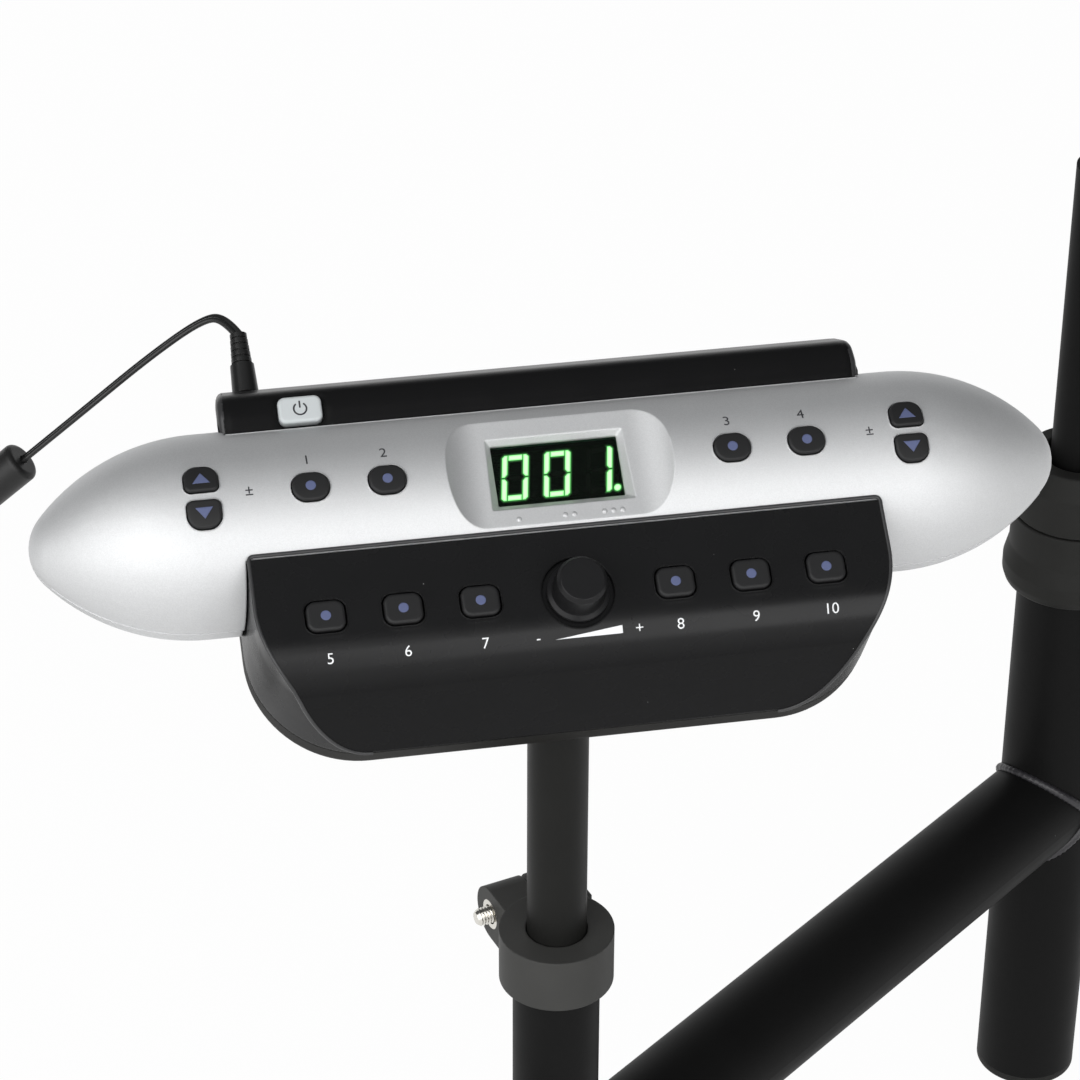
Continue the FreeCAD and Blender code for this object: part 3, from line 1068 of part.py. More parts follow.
# Tied coil: spirals in, climbs a layer in one half turn, spirals out.
coil_in = lead_points[-1]
coil_mid_z = coil_in.z - LEAD_R - LEAD_R
edges = [Part.LineSegment(coil_in, V(coil_in.x, coil_in.y, coil_mid_z)).toShape()]
coil_length = LEAD_R + LEAD_R
samples = []
y = coil_in.y
x = coil_in.x
r = COIL_R
half_turns = COIL_TURNS_IN + 1 + COIL_TURNS_OUT
for k in range(half_turns):
    sign = -1 if k % 2 == 0 else 1
    climb = COIL_STEP if k == COIL_TURNS_IN else 0
    start = V(x, y, coil_mid_z)
    end = V(x - climb, y + sign * (r + r), coil_mid_z)
    reach = start.distanceToPoint(end) / 2
    middle = V(x - climb / 2, y + sign * r, coil_mid_z + sign * reach)
    quarter = math.sqrt(half_share)
    hub = start.add(end) * half_share
    out_start = start.sub(hub)
    out_middle = middle.sub(hub)
    early = hub.add(out_start * quarter).add(out_middle * quarter)
    late = hub.sub(out_start * quarter).add(out_middle * quarter)
    edges.append(Part.Arc(start, early, middle).toShape())
    edges.append(Part.Arc(middle, late, end).toShape())
    for s in range(24):
        swing = math.pi * s / 24
        samples.append(hub.add(out_start * math.cos(swing)).add(out_middle * math.sin(swing)))
    coil_length += math.pi * reach
    x = end.x
    y = end.y
    r = r - COIL_STEP / 2 if k < COIL_TURNS_IN else r + COIL_STEP / 2
coil_out = V(x, y, coil_mid_z - LEAD_R - LEAD_R)
edges.append(Part.LineSegment(V(x, y, coil_mid_z), coil_out).toShape())
coil_length += LEAD_R + LEAD_R
least = min(samples[i].distanceToPoint(samples[j]) for i in range(len(samples))
            for j in range(i + 20, len(samples)))
print("lead_coil least gap", round(least - LEAD_R - LEAD_R, 3))
keep("lead_coil", swept("lead_coil", edges, LEAD_R, coil_length))
tail_end = centre.z + TAIL_END
keep("lead_tail", rod(LEAD_R, coil_out.x, coil_out.y, tail_end, coil_out.z))

# Cable tie around the bundle at the top of the coil.
coil_axis_y = coil_in.y - COIL_R
tie_in_x = coil_in.x - COIL_STEP - LEAD_R - TIE_GAP
tie_out_x = coil_in.x + LEAD_R + TIE_GAP
tie_low = coil_mid_z + min(p.z - coil_mid_z for p in samples if abs(p.y - coil_axis_y) < TIE_W
                           and p.z > coil_mid_z) - LEAD_R - TIE_GAP - TIE_GAP
tie_high = coil_mid_z + COIL_R - COIL_STEP / 2 + LEAD_R + TIE_GAP
tie = block(tie_in_x - TIE_T, tie_out_x + TIE_T, coil_axis_y - TIE_W / 2, coil_axis_y + TIE_W / 2,
            tie_low - TIE_T, tie_high + TIE_T)
tie = tie.cut(block(tie_in_x, tie_out_x, coil_axis_y - TIE_W, coil_axis_y + TIE_W, tie_low, tie_high))
keep("cable_tie", tie)

# Power adapter hanging on the end of the lead.
boot_top = tail_end + BOOT_DEEP
body_top = boot_top - BOOT_H
body_mid = body_top - ADAPTER_H / 2
adapter = slab(0, 0, ADAPTER_HALF_X, ADAPTER_HALF_Y, ADAPTER_R, body_top - ADAPTER_H, body_top)
rims = [e for e in adapter.Edges if abs(e.BoundBox.ZMax - e.BoundBox.ZMin) < SEAM]
adapter = adapter.makeFillet(ADAPTER_R / 2, rims)
boot = Part.makeCone(BOOT_R, BOOT_TOP_R, BOOT_H, V(0, 0, body_top), V(0, 0, 1))
bore = rod(LEAD_R + TIE_GAP, 0, 0, tail_end, boot_top)
pin_spots = [body_mid - PIN_SPACE, body_mid + PIN_SPACE]
pins = [block(-PIN_HALF_X, PIN_HALF_X, -ADAPTER_HALF_Y - PIN_L, -ADAPTER_HALF_Y, z - PIN_HALF_Z,
              z + PIN_HALF_Z) for z in pin_spots]
adapter = adapter.fuse([boot] + pins).cut(bore).removeSplitter()
adapter.translate(V(coil_out.x, coil_out.y, 0))
keep("power_adapter", adapter)
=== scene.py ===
"""Dress a drum sound module on its post, with its clamp, a rack corner and the power lead.

Field values are millimetres. Places on the module are in the module's own frame, with x to the
right, y up the face and z out of the face. Blender objects are metres in the part frame.
"""

import logging
import math
from dataclasses import dataclass
from enum import Enum
from typing import Callable, Sequence

import bmesh
import bpy
from mathutils import Matrix, Vector


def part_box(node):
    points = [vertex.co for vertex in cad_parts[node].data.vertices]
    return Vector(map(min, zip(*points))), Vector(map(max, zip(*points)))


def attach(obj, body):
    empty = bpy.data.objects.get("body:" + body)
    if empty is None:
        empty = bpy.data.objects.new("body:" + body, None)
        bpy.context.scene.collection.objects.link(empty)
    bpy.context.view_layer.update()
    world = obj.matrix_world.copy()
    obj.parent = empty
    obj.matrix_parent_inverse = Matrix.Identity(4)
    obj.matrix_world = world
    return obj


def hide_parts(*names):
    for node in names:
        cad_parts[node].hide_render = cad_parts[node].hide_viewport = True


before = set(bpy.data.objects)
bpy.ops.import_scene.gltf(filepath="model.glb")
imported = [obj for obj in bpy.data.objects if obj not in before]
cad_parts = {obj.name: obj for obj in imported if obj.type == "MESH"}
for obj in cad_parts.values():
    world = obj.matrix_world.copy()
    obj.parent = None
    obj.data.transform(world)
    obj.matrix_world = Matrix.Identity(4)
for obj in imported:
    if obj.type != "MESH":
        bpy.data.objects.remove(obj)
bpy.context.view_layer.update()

MM = 0.001
LOG = logging.getLogger("drum_module")

Form = bmesh.types.BMesh
Node = bpy.types.Node
Material = bpy.types.Material
Colour = tuple[float, float, float]
Flat = tuple[float, float]
Spot = tuple[float, float, float]
Placer = Callable[[float, float, float], Vector]
Profile = Callable[[float], float]
Signal = tuple[Node, object]

# Sides and corners that pieces repeat on, and the crease angle of rounded ones.
BOTH = (-1.0, 1.0)
CORNERS = ((-1, -1), (1, -1), (1, 1), (-1, 1))
SOFT_DEG = 60.0

# Mottling, edge wear and painted edge highlight, paint flakes and lint that the finishes share.
BROAD_MM = 14.0
BROAD_DETAIL = 4.0
EDGE_SAMPLES = 5
EDGE_BENDS = (0.995, 0.88)
WEAR_GLINT_SHARE = 0.7
WEAR_GLINT_LIFT = 0.1
FLAKE_TONES = (0.95, 1.04)
LINT_PITCH_MM = 5.0
LINT_REACH = 0.035
LINT_GREY = (0.16, 0.16, 0.16)
GLOW_LAYER = "glow"

# How finely prints, beads, corners, lips and welds are cut; STRIP and RIPPLE_MM are millimetres.
STRIP = 0.6
CUT_SLACK = 0.01
CAP_SHARE = 0.72
MERGE_SHARE = 0.001
BEAD_SIDES = 10
RIPPLE_MM = 2.2
CORNER_STEPS = 8
LEAST_MITRE = 0.35
LIP_STEPS = 60
WELD_STEPS = 160

# Pan-head screw, in shares of the head's radius and height and of the shank's radius.
PAN_HEAD = ((0.68, 1.0), (0.88, 0.82), (1.0, 0.45), (1.0, 0.0))
RECESS_MOUTH = (0.55, 0.15)
RECESS_FLOOR = (0.3, 0.12)
RECESS_SINK = 0.35
SHANK_TIP = 0.4


class Relief(Enum):
    """How the surface of a finish is broken up."""

    GRAIN = "grain"
    PEEL = "peel"
    FLAKE = "flake"


class Sign(Enum):
    """Marks moulded into the keys."""

    DOT = "dot"
    UP = "up"
    DOWN = "down"


class Graph:
    """A material's node tree with a Principled shader at its end."""

    def __init__(self, name: str) -> None:
        """Start an empty tree.

        Args:
            name: Name of the new material.
        """
        self.material = bpy.data.materials.new(name)
        self.material.use_nodes = True
        self.tree = self.material.node_tree
        self.tree.nodes.clear()
        self.shader = self.add("ShaderNodeBsdfPrincipled")
        self.output = self.add("ShaderNodeOutputMaterial")
        self.join(self.shader, "BSDF", self.output, "Surface")

    def add(self, kind: str, sockets: dict[object, object] | None = None,
            **values: object) -> Node:
        """Add a node.

        Args:
            kind: Blender's class name of the node.
            sockets: Values of its inputs, by name or number.
            values: Attributes of the node.

        Returns:
            The new node.
        """
        node = self.tree.nodes.new(kind)
        for key, value in values.items():
            setattr(node, key, value)
        for socket, value in (sockets or {}).items():
            node.inputs[socket].default_value = value
        return node

    def join(self, source: Node, out: object, target: Node, into: object) -> None:
        """Link an output of one node to an input of another."""
        self.tree.links.new(source.outputs[out], target.inputs[into])

    def calc(self, operation: str, first: Signal, second: Signal | float) -> Node:
        """Combine two signals, or a signal and a number.

        Args:
            operation: Blender's name of the operation.
            first: Node and output of the first signal.
            second: The same for the second signal, or a number.

        Returns:
            The math node.
        """
        node = self.add("ShaderNodeMath", operation=operation)
        self.join(*first, node, 0)
        if isinstance(second, tuple):
            self.join(*second, node, 1)
        else:
            node.inputs[1].default_value = second
        return node

    def place(self) -> Node:
        """Give the object coordinates, which stay with a piece as it moves."""
        return self.add("ShaderNodeTexCoord")

    def noise(self, coords: Node, size_mm: float, detail: float) -> Node:
        """Add noise with features of about one size.

        Args:
            coords: Node with object coordinates.
            size_mm: Size of the features.
            detail: Finer octaves on top.

        Returns:
            The noise node.
        """
        node = self.add("ShaderNodeTexNoise", {"Scale": 1 / (size_mm * MM), "Detail": detail})
        self.join(coords, "Object", node, "Vector")
        return node

    def cells(self, coords: Node, size_mm: float) -> Node:
        """Add random cells of about one size.

        Args:
            coords: Node with object coordinates.
            size_mm: Size of the cells.

        Returns:
            The cell node.
        """
        node = self.add("ShaderNodeTexVoronoi", {"Scale": 1 / (size_mm * MM)})
        self.join(coords, "Object", node, "Vector")
        return node

    def spread(self, source: Node, out: str, low: float, high: float) -> Node:
        """Map a signal from 0..1 to low..high.

        Args:
            source: Node that gives the signal.
            out: Its output.
            low: Value for 0.
            high: Value for 1.

        Returns:
            The node with the mapped signal.
        """
        node = self.add("ShaderNodeMapRange", {"To Min": low, "To Max": high})
        self.join(source, out, node, "Value")
        return node

    def blend(self, first: Colour, second: Colour) -> Node:
        """Add a mix of two colours; its factor is input 0 and its colour output 2."""
        return self.add("ShaderNodeMix", {6: (*first, 1.0), 7: (*second, 1.0)}, data_type="RGBA")


def scaled(colour: Colour, share: float) -> Colour:
    """Brighten or darken a colour."""
    return tuple(min(1.0, channel * share) for channel in colour)


@dataclass(frozen=True)
class Surface:
    """A finish with one material of its own."""

    name: str

    def material(self) -> Material:
        """Find or make this finish's material.

        Returns:
            The material, made once.
        """
        made = bpy.data.materials.get(self.name)
        return made if made else self.build()

    def build(self) -> Material:
        """Make the node tree of this finish."""
        raise NotImplementedError


@dataclass(frozen=True)
class Finish(Surface):
    """A painted, moulded or plated surface."""

    colour: Colour
    roughness: float
    metallic: float = 0.0
    relief: Relief = Relief.GRAIN
    grain_mm: float = 0.35
    depth_mm: float = 0.012
    mottle: float = 0.12
    rough_swing: float = 0.06
    dust: float = 0.0
    specular: float = 0.5
    edge_mm: float = 0.4
    wear: float = 0.25

    def build(self) -> Material:
        """Make the node tree of this finish.

        Returns:
            The new material.
        """
        graph = Graph(self.name)
        coords = graph.place()
        shader = graph.shader
        shader.inputs["Metallic"].default_value = self.metallic
        self.shine(graph, coords)
        broad = graph.noise(coords, BROAD_MM, BROAD_DETAIL)
        tint = graph.blend(scaled(self.colour, 1 - self.mottle), scaled(self.colour, 1 + self.mottle))
        graph.join(broad, "Fac", tint, 0)
        low, high = self.roughness - self.rough_swing, self.roughness + self.rough_swing
        rough = graph.spread(broad, "Fac", low, high)
        graph.join(rough, "Result", shader, "Roughness")
        soft = graph.add("ShaderNodeBevel", {"Radius": self.edge_mm * MM}, samples=EDGE_SAMPLES)
        last = self.flakes(graph, coords, soft, tint) if self.relief is Relief.FLAKE else tint
        if self.dust > 0:
            last = self.specks(graph, coords, last)
        if self.wear > 0:
            last = self.worn(graph, soft, broad, last)
        graph.join(last, 2, shader, "Base Color")
        if self.relief is not Relief.FLAKE:
            self.bumps(graph, coords, soft)
        return graph.material

    def shine(self, graph: Graph, coords: Node) -> None:
        """Set how strongly the surface mirrors the room."""
        graph.shader.inputs["Specular IOR Level"].default_value = self.specular

    def bumps(self, graph: Graph, coords: Node, soft: Node) -> None:
        """Raise the grain of moulded plastic or powder coat over rounded edges.

        Args:
            graph: Tree to add to.
            coords: Node with object coordinates.
            soft: Node with the rounded normal.
        """
        detail = 2.0 if self.relief is Relief.GRAIN else 0.0
        grain = graph.noise(coords, self.grain_mm, detail)
        bump = graph.add("ShaderNodeBump", {"Distance": self.depth_mm * MM, "Strength": 1.0})
        graph.join(grain, "Fac", bump, "Height")
        graph.join(soft, "Normal", bump, "Normal")
        graph.join(bump, "Normal", graph.shader, "Normal")

    def worn(self, graph: Graph, soft: Node, broad: Node,
             tint: Node) -> Node:
        """Pale the edges a little: rubbed wear, and on the knob, whose share is full, a painted highlight on
        its lit rim.

        Args:
            graph: Tree to add to.
            soft: Node with the rounded normal.
            broad: Noise that breaks the wear and the painted highlight up.
            tint: Mix node with the colour before the edges are paled.

        Returns:
            Mix node with the worn and highlighted colour.
        """
        face = graph.add("ShaderNodeNewGeometry")
        bend = graph.add("ShaderNodeVectorMath", operation="DOT_PRODUCT")
        graph.join(soft, "Normal", bend, 0)
        graph.join(face, "Normal", bend, 1)
        flat, sharp = EDGE_BENDS
        levels = {"From Min": flat, "From Max": sharp, "To Max": self.wear}
        edge = graph.add("ShaderNodeMapRange", levels)
        graph.join(bend, "Value", edge, "Value")
        patchy = graph.calc("MULTIPLY", (edge, "Result"), (broad, "Fac"))
        pale = tuple(channel * WEAR_GLINT_SHARE + WEAR_GLINT_LIFT for channel in self.colour)
        wear_glint = graph.blend(self.colour, pale)
        graph.join(patchy, "Value", wear_glint, 0)
        graph.join(tint, 2, wear_glint, 6)
        return wear_glint

    def flakes(self, graph: Graph, coords: Node, soft: Node,
               tint: Node) -> Node:
        """Tilt and tint the metal flakes of silver paint.

        Args:
            graph: Tree to add to.
            coords: Node with object coordinates.
            soft: Node with the rounded normal.
            tint: Mix node with the paint's colour.

        Returns:
            Mix node with the flaked colour.
        """
        cells = graph.cells(coords, self.grain_mm)
        part = graph.add("ShaderNodeSeparateColor")
        graph.join(cells, "Color", part, "Color")
        speckle = graph.add("ShaderNodeMix", {0: 1.0}, data_type="RGBA", blend_type="MULTIPLY")
        graph.join(tint, 2, speckle, 6)
        tone = graph.spread(part, "Red", *FLAKE_TONES)
        graph.join(tone, "Result", speckle, 7)
        tilt = graph.add("ShaderNodeVectorMath", {1: (0.5, 0.5, 0.5)}, operation="SUBTRACT")
        graph.join(cells, "Color", tilt, 0)
        small = graph.add("ShaderNodeVectorMath", {"Scale": self.depth_mm}, operation="SCALE")
        graph.join(tilt, "Vector", small, 0)
        lean = graph.add("ShaderNodeVectorMath", operation="ADD")
        graph.join(soft, "Normal", lean, 0)
        graph.join(small, "Vector", lean, 1)
        unit = graph.add("ShaderNodeVectorMath", operation="NORMALIZE")
        graph.join(lean, "Vector", unit, 0)
        graph.join(unit, "Vector", graph.shader, "Normal")
        return speckle

    def specks(self, graph: Graph, coords: Node, tint: Node) -> Node:
        """Scatter fine pale lint over a dark finish.

        Args:
            graph: Tree to add to.
            coords: Node with object coordinates.
            tint: Mix node with the clean colour.

        Returns:
            Mix node with the dusty colour.
        """
        cells = graph.cells(coords, LINT_PITCH_MM)
        near = graph.calc("LESS_THAN", (cells, "Distance"), LINT_REACH)
        part = graph.add("ShaderNodeSeparateColor")
        graph.join(cells, "Color", part, "Color")
        chosen = graph.calc("LESS_THAN", (part, "Green"), self.dust)
        both = graph.calc("MULTIPLY", (near, "Value"), (chosen, "Value"))
        dusty = graph.blend(self.colour, LINT_GREY)
        graph.join(both, "Value", dusty, 0)
        graph.join(tint, 2, dusty, 6)
        return dusty


@dataclass(frozen=True)
class PanelFinish(Finish):
    """Satin plastic whose steep front, below a bend, is moulded with a duller grain."""

    front_specular: float = 0.05
    out: Spot = (0.0, 0.0, 1.0)
    blend_mm: Flat = (0.0, 1.0)

    def shine(self, graph: Graph, coords: Node) -> None:
        """Let the gloss fall off over the bend.

        Args:
            graph: Tree to add to.
            coords: Node with object coordinates.
        """
        super().shine(graph, coords)
        height = graph.add("ShaderNodeVectorMath", {1: self.out}, operation="DOT_PRODUCT")
        graph.join(coords, "Object", height, 0)
        low, high = (edge * MM for edge in self.blend_mm)
        levels = {"From Min": low, "From Max": high, "To Min": self.front_specular, "To Max": self.specular}
        share = graph.add("ShaderNodeMapRange", levels, interpolation_type="SMOOTHSTEP")
        graph.join(height, "Value", share, "Value")
        graph.join(share, "Result", graph.shader, "Specular IOR Level")


@dataclass(frozen=True)
class FilterFinish(Surface):
    """Dark see-through plastic over the digits."""

    colour: Colour
    roughness: float
    cover: float
    wipe_mm: float = 6.0
    wipe_detail: float = 2.0

    def build(self) -> Material:
        """Make the filter, with faint wipe marks in its gloss.

        Returns:
            The new material.
        """
        graph = Graph(self.name)
        shader = graph.shader
        shader.inputs["Base Color"].default_value = (*self.colour, 1.0)
        shader.inputs["Alpha"].default_value = self.cover
        wipes = graph.noise(graph.place(), self.wipe_mm, self.wipe_detail)
        rough = graph.spread(wipes, "Fac", self.roughness, self.roughness * 2)
        graph.join(rough, "Result", shader, "Roughness")
        return graph.material


@dataclass(frozen=True)
class LitFinish(Surface):
    """Light from the digits, whose strength is painted on the corners of the mesh."""

    strength: float
    base: Colour = (0.0, 0.004, 0.0)
    roughness: float = 0.7

    def build(self) -> Material:
        """Make the lit finish.

        Returns:
            The new material.
        """
        graph = Graph(self.name)
        shader = graph.shader
        shader.inputs["Base Color"].default_value = (*self.base, 1.0)
        shader.inputs["Roughness"].default_value = self.roughness
        shader.inputs["Emission Strength"].default_value = self.strength
        paint = graph.add("ShaderNodeVertexColor", layer_name=GLOW_LAYER)
        graph.join(paint, "Color", shader, "Emission Color")
        return graph.material


@dataclass(frozen=True)
class BoardFinish(Surface):
    """Solder mask with copper runs under it."""

    mask: Colour
    run: Colour
    run_mm: float
    run_share: float = 0.05
    shade: float = 0.8
    roughness: float = 0.35

    def build(self) -> Material:
        """Make the circuit board finish.

        Returns:
            The new material.
        """
        graph = Graph(self.name)
        bricks = graph.add("ShaderNodeTexBrick", {
            "Scale": 1 / (self.run_mm * MM),
            "Mortar Size": self.run_share,
            "Color1": (*self.mask, 1.0),
            "Color2": (*scaled(self.mask, self.shade), 1.0),
            "Mortar": (*self.run, 1.0),
        })
        graph.join(graph.place(), "Object", bricks, "Vector")
        graph.join(bricks, "Color", graph.shader, "Base Color")
        graph.shader.inputs["Roughness"].default_value = self.roughness
        return graph.material


# Finishes: name, colour, roughness, and what sets each apart.
SILVER_PAINT = Finish("silver_paint", (0.64, 0.645, 0.65), 0.64, metallic=0.9, relief=Relief.FLAKE,
                      grain_mm=0.22, depth_mm=0.05, mottle=0.015, rough_swing=0.03, edge_mm=0.7, wear=0.1)
SATIN_BLACK = PanelFinish("satin_black", (0.0062, 0.0062, 0.0065), 0.27, grain_mm=0.3, depth_mm=0.003,
                          dust=0.12, specular=0.22, edge_mm=0.9, wear=0.12, front_specular=0.05,
                          out=(0.0, -0.5878, 0.809), blend_mm=(432.3, 440.3))
SPINE_BLACK = Finish("spine_black", (0.006, 0.006, 0.0063), 0.3, grain_mm=0.3, depth_mm=0.003, dust=0.06,
                     specular=0.1, edge_mm=4.0, wear=0.05)
# Black of the panel's rim bead and the spine's rounded ends, paler than the panel and spine plastic: a
# painted highlight on these lit edges, with lint specks.
RIM_SHEEN_BLACK = Finish("rim_sheen_black", (0.03, 0.03, 0.031), 0.36, grain_mm=0.5, depth_mm=0.006, mottle=0.35,
                   dust=0.3, specular=0.4, edge_mm=0.1, wear=0.0)
MATTE_BLACK = Finish("matte_black", (0.0105, 0.0102, 0.0092), 0.48, depth_mm=0.01, dust=0.04, specular=0.07,
                     edge_mm=0.8)
KEY_RUBBER = Finish("key_rubber", (0.0105, 0.0105, 0.011), 0.5, grain_mm=0.25, depth_mm=0.004, dust=0.04,
                    specular=0.3, edge_mm=0.6)
# The knob's pale edge at full strength is a painted highlight on the lit rim of its top, not wear.
KNOB_BLACK = Finish("knob_black", (0.0095, 0.0095, 0.01), 0.33, grain_mm=0.2, depth_mm=0.002, dust=0.05,
                    specular=0.18, edge_mm=0.2, wear=1.0)
BUTTON_GREY = Finish("button_grey", (0.5, 0.528, 0.535), 0.4, grain_mm=0.4, depth_mm=0.003, mottle=0.02,
                     wear=0.1)
LED_BLACK = Finish("led_black", (0.0015, 0.0035, 0.0015), 0.6, mottle=0.3, specular=0.05, wear=0.0)
SOCKET_BLACK = Finish("socket_black", (0.012, 0.012, 0.012), 0.45, depth_mm=0.006, specular=0.35)
MAT_GREY = Finish("mat_grey", (0.3, 0.3, 0.31), 0.6, depth_mm=0.01)
TURNED_METAL = Finish("turned_metal", (0.62, 0.62, 0.63), 0.3, metallic=1.0, grain_mm=0.15, depth_mm=0.002)
ZINC_STEEL = Finish("zinc_steel", (0.55, 0.55, 0.56), 0.34, metallic=1.0, grain_mm=0.3, depth_mm=0.003)
NICKEL = Finish("nickel", (0.7, 0.68, 0.63), 0.22, metallic=1.0, grain_mm=0.25, depth_mm=0.002, edge_mm=0.15)
POST_COAT = Finish("post_coat", (0.0095, 0.0095, 0.0088), 0.45, relief=Relief.PEEL, grain_mm=0.8,
                   depth_mm=0.012, dust=0.04, specular=0.12)
RACK_COAT = Finish("rack_coat", (0.006, 0.006, 0.006), 0.5, relief=Relief.PEEL, grain_mm=0.9, depth_mm=0.012,
                   dust=0.03, specular=0.07)
CLAMP_COAT = Finish("clamp_coat", (0.042, 0.042, 0.04), 0.52, grain_mm=0.5, depth_mm=0.01, dust=0.05,
                    specular=0.15, edge_mm=0.9)
COLLAR_BLACK = Finish("collar_black", (0.017, 0.017, 0.016), 0.55, grain_mm=0.4, depth_mm=0.01, dust=0.04,
                      specular=0.12, edge_mm=0.8)
LEAD_VINYL = Finish("lead_vinyl", (0.009, 0.009, 0.009), 0.34, grain_mm=0.5, depth_mm=0.005, dust=0.02,
                    specular=0.4, edge_mm=0.2)
FERRITE_CASE = Finish("ferrite_case", (0.0115, 0.0115, 0.0115), 0.42, grain_mm=0.3, depth_mm=0.006,
                      specular=0.35)
WELD_COAT = Finish("weld_coat", (0.019, 0.018, 0.021), 0.38, relief=Relief.PEEL, grain_mm=1.2, depth_mm=0.02,
                   specular=0.5, wear=0.0)
TIE_NYLON = Finish("black_nylon", (0.012, 0.012, 0.012), 0.4, grain_mm=0.5, depth_mm=0.004)
MARK_BLUE = Finish("mark_blue", (0.09, 0.108, 0.205), 0.55, grain_mm=0.25, depth_mm=0.003, mottle=0.08,
                   specular=0.3, wear=0.0)
WHITE_INK = Finish("white_ink", (0.78, 0.79, 0.8), 0.5, grain_mm=0.2, depth_mm=0.002, mottle=0.05, wear=0.0)
GREY_INK = Finish("grey_ink", (0.035, 0.035, 0.04), 0.5, grain_mm=0.2, depth_mm=0.002, mottle=0.05, wear=0.0)
WINDOW_FILTER = FilterFinish("dark_filter", (0.001, 0.004, 0.0015), 0.05, 0.22)
DIGIT_LIGHT = LitFinish("digit_light", 1.6)
CIRCUIT_BOARD = BoardFinish("circuit_board", (0.02, 0.12, 0.05), (0.06, 0.25, 0.09), 2.4)


def dress(finish: Surface, *nodes: str) -> None:
    """Give CAD nodes a finish.

    Args:
        finish: Finish whose material they take.
        nodes: Names of the nodes.
    """
    for name in nodes:
        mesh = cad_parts[name].data
        mesh.materials.clear()
        mesh.materials.append(finish.material())
        LOG.info("dressed %s in %s", name, finish.name)


def add_piece(name: str, form: Form, finish: Surface, body: str,
              crease_deg: float = 35.0) -> bpy.types.Object:
    """Turn a form into a piece that rides on a body.

    Args:
        name: Name of the piece.
        form: Its mesh in metres in the part frame, freed here.
        finish: Finish whose material it takes.
        body: CAD body that carries it.
        crease_deg: Edges that turn more than this stay sharp.

    Returns:
        The new object.
    """
    bmesh.ops.recalc_face_normals(form, faces=form.faces)
    mesh = bpy.data.meshes.new(name)
    form.to_mesh(mesh)
    form.free()
    mesh.shade_smooth()
    mesh.set_sharp_from_angle(angle=math.radians(crease_deg))
    mesh.materials.append(finish.material())
    piece = bpy.data.objects.new(name, mesh)
    bpy.context.scene.collection.objects.link(piece)
    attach(piece, body)
    LOG.info("added %s on %s", name, body)
    return piece


def lay_shape(form: Form, shape: Form, place: Placer, low: float,
              high: float) -> None:
    """Thicken a flat shape and lay it on a surface, cut fine enough to follow its curve.

    Args:
        form: Mesh to add to.
        shape: Flat faces in millimetres, freed here.
        place: Puts (x, y, height) on the surface that carries the shape.
        low: Height of its underside.
        high: Height of its face.
    """
    for axis, normal in ((0, (1, 0, 0)), (1, (0, 1, 0))):
        first = min(vert.co[axis] for vert in shape.verts)
        last = max(vert.co[axis] for vert in shape.verts)
        cut = first + STRIP
        while cut < last:
            parts = [*shape.verts, *shape.edges, *shape.faces]
            spot = Vector(normal) * cut
            bmesh.ops.bisect_plane(shape, geom=parts, dist=STRIP * CUT_SLACK, plane_co=spot, plane_no=normal)
            cut += STRIP
    grown = bmesh.ops.extrude_face_region(shape, geom=shape.faces[:])
    over = {part for part in grown["geom"] if isinstance(part, bmesh.types.BMVert)}
    for vert in shape.verts:
        vert.co = place(vert.co.x, vert.co.y, high if vert in over else low)
    bmesh.ops.recalc_face_normals(shape, faces=shape.faces)
    mesh = bpy.data.meshes.new("laid_shape")
    shape.to_mesh(mesh)
    shape.free()
    form.from_mesh(mesh)
    bpy.data.meshes.remove(mesh)


def add_plate(form: Form, outline: Sequence[Flat], place: Placer, low: float,
              high: float) -> None:
    """Add a thin closed plate over an outline.

    Args:
        form: Mesh to add to.
        outline: Corners, in order.
        place: Puts (x, y, height) on the surface that carries the plate.
        low: Height of its underside.
        high: Height of its face.
    """
    shape = bmesh.new()
    shape.faces.new([shape.verts.new((x, y, 0.0)) for x, y in outline])
    lay_shape(form, shape, place, low, high)


def add_text(form: Form, text: str, height: float, centre: Flat, place: Placer,
             low: float, high: float) -> None:
    """Add plain numbers or signs as a thin closed print.

    Args:
        form: Mesh to add to.
        text: What to print.
        height: Height of a capital.
        centre: Middle of the print.
        place: Puts (x, y, height) on the surface that carries the print.
        low: Height of its underside.
        high: Height of its face.
    """
    curve = bpy.data.curves.new("print", "FONT")
    curve.body = text
    curve.size = height / CAP_SHARE
    curve.align_x = "CENTER"
    holder = bpy.data.objects.new("print", curve)
    mesh = bpy.data.meshes.new_from_object(holder)
    letters = bmesh.new()
    letters.from_mesh(mesh)
    bmesh.ops.remove_doubles(letters, verts=letters.verts, dist=height * MERGE_SHARE)
    bmesh.ops.translate(letters, verts=letters.verts, vec=(centre[0], centre[1] - height / 2, 0.0))
    lay_shape(form, letters, place, low, high)
    bpy.data.objects.remove(holder)
    bpy.data.curves.remove(curve)
    bpy.data.meshes.remove(mesh)


def skin(form: Form, loops: Sequence[Sequence[bmesh.types.BMVert]], closed: bool = False,
         match: bool = False) -> None:
    """Join rings of points by faces, and cap the ends unless the rings close on themselves.

    Args:
        form: Mesh to add to.
        loops: Rings with the same number of points.
        closed: The last ring meets the first.
        match: A ring is turned so that its points lie next to those of the ring before.
    """
    count = len(loops[0])
    pairs = list(zip(loops, loops[1:]))
    if closed:
        pairs.append((loops[-1], loops[0]))
    for low, high in pairs:
        shift = min(range(count), key=lambda k: (high[k].co - low[0].co).length) if match else 0
        for i in range(count):
            j = (i + 1) % count
            form.faces.new((low[i], low[j], high[(j + shift) % count], high[(i + shift) % count]))
    if not closed:
        form.faces.new(list(reversed(loops[0])))
        form.faces.new(loops[-1])


def even(first: float, last: float, steps: int) -> list[float]:
    """Give evenly spaced numbers from first to last, both included."""
    return [first + (last - first) * k / steps for k in range(steps + 1)]


def full_turn(count: int) -> list[float]:
    """Give the angles of evenly spaced points round a circle."""
    return [2 * math.pi * k / count for k in range(count)]


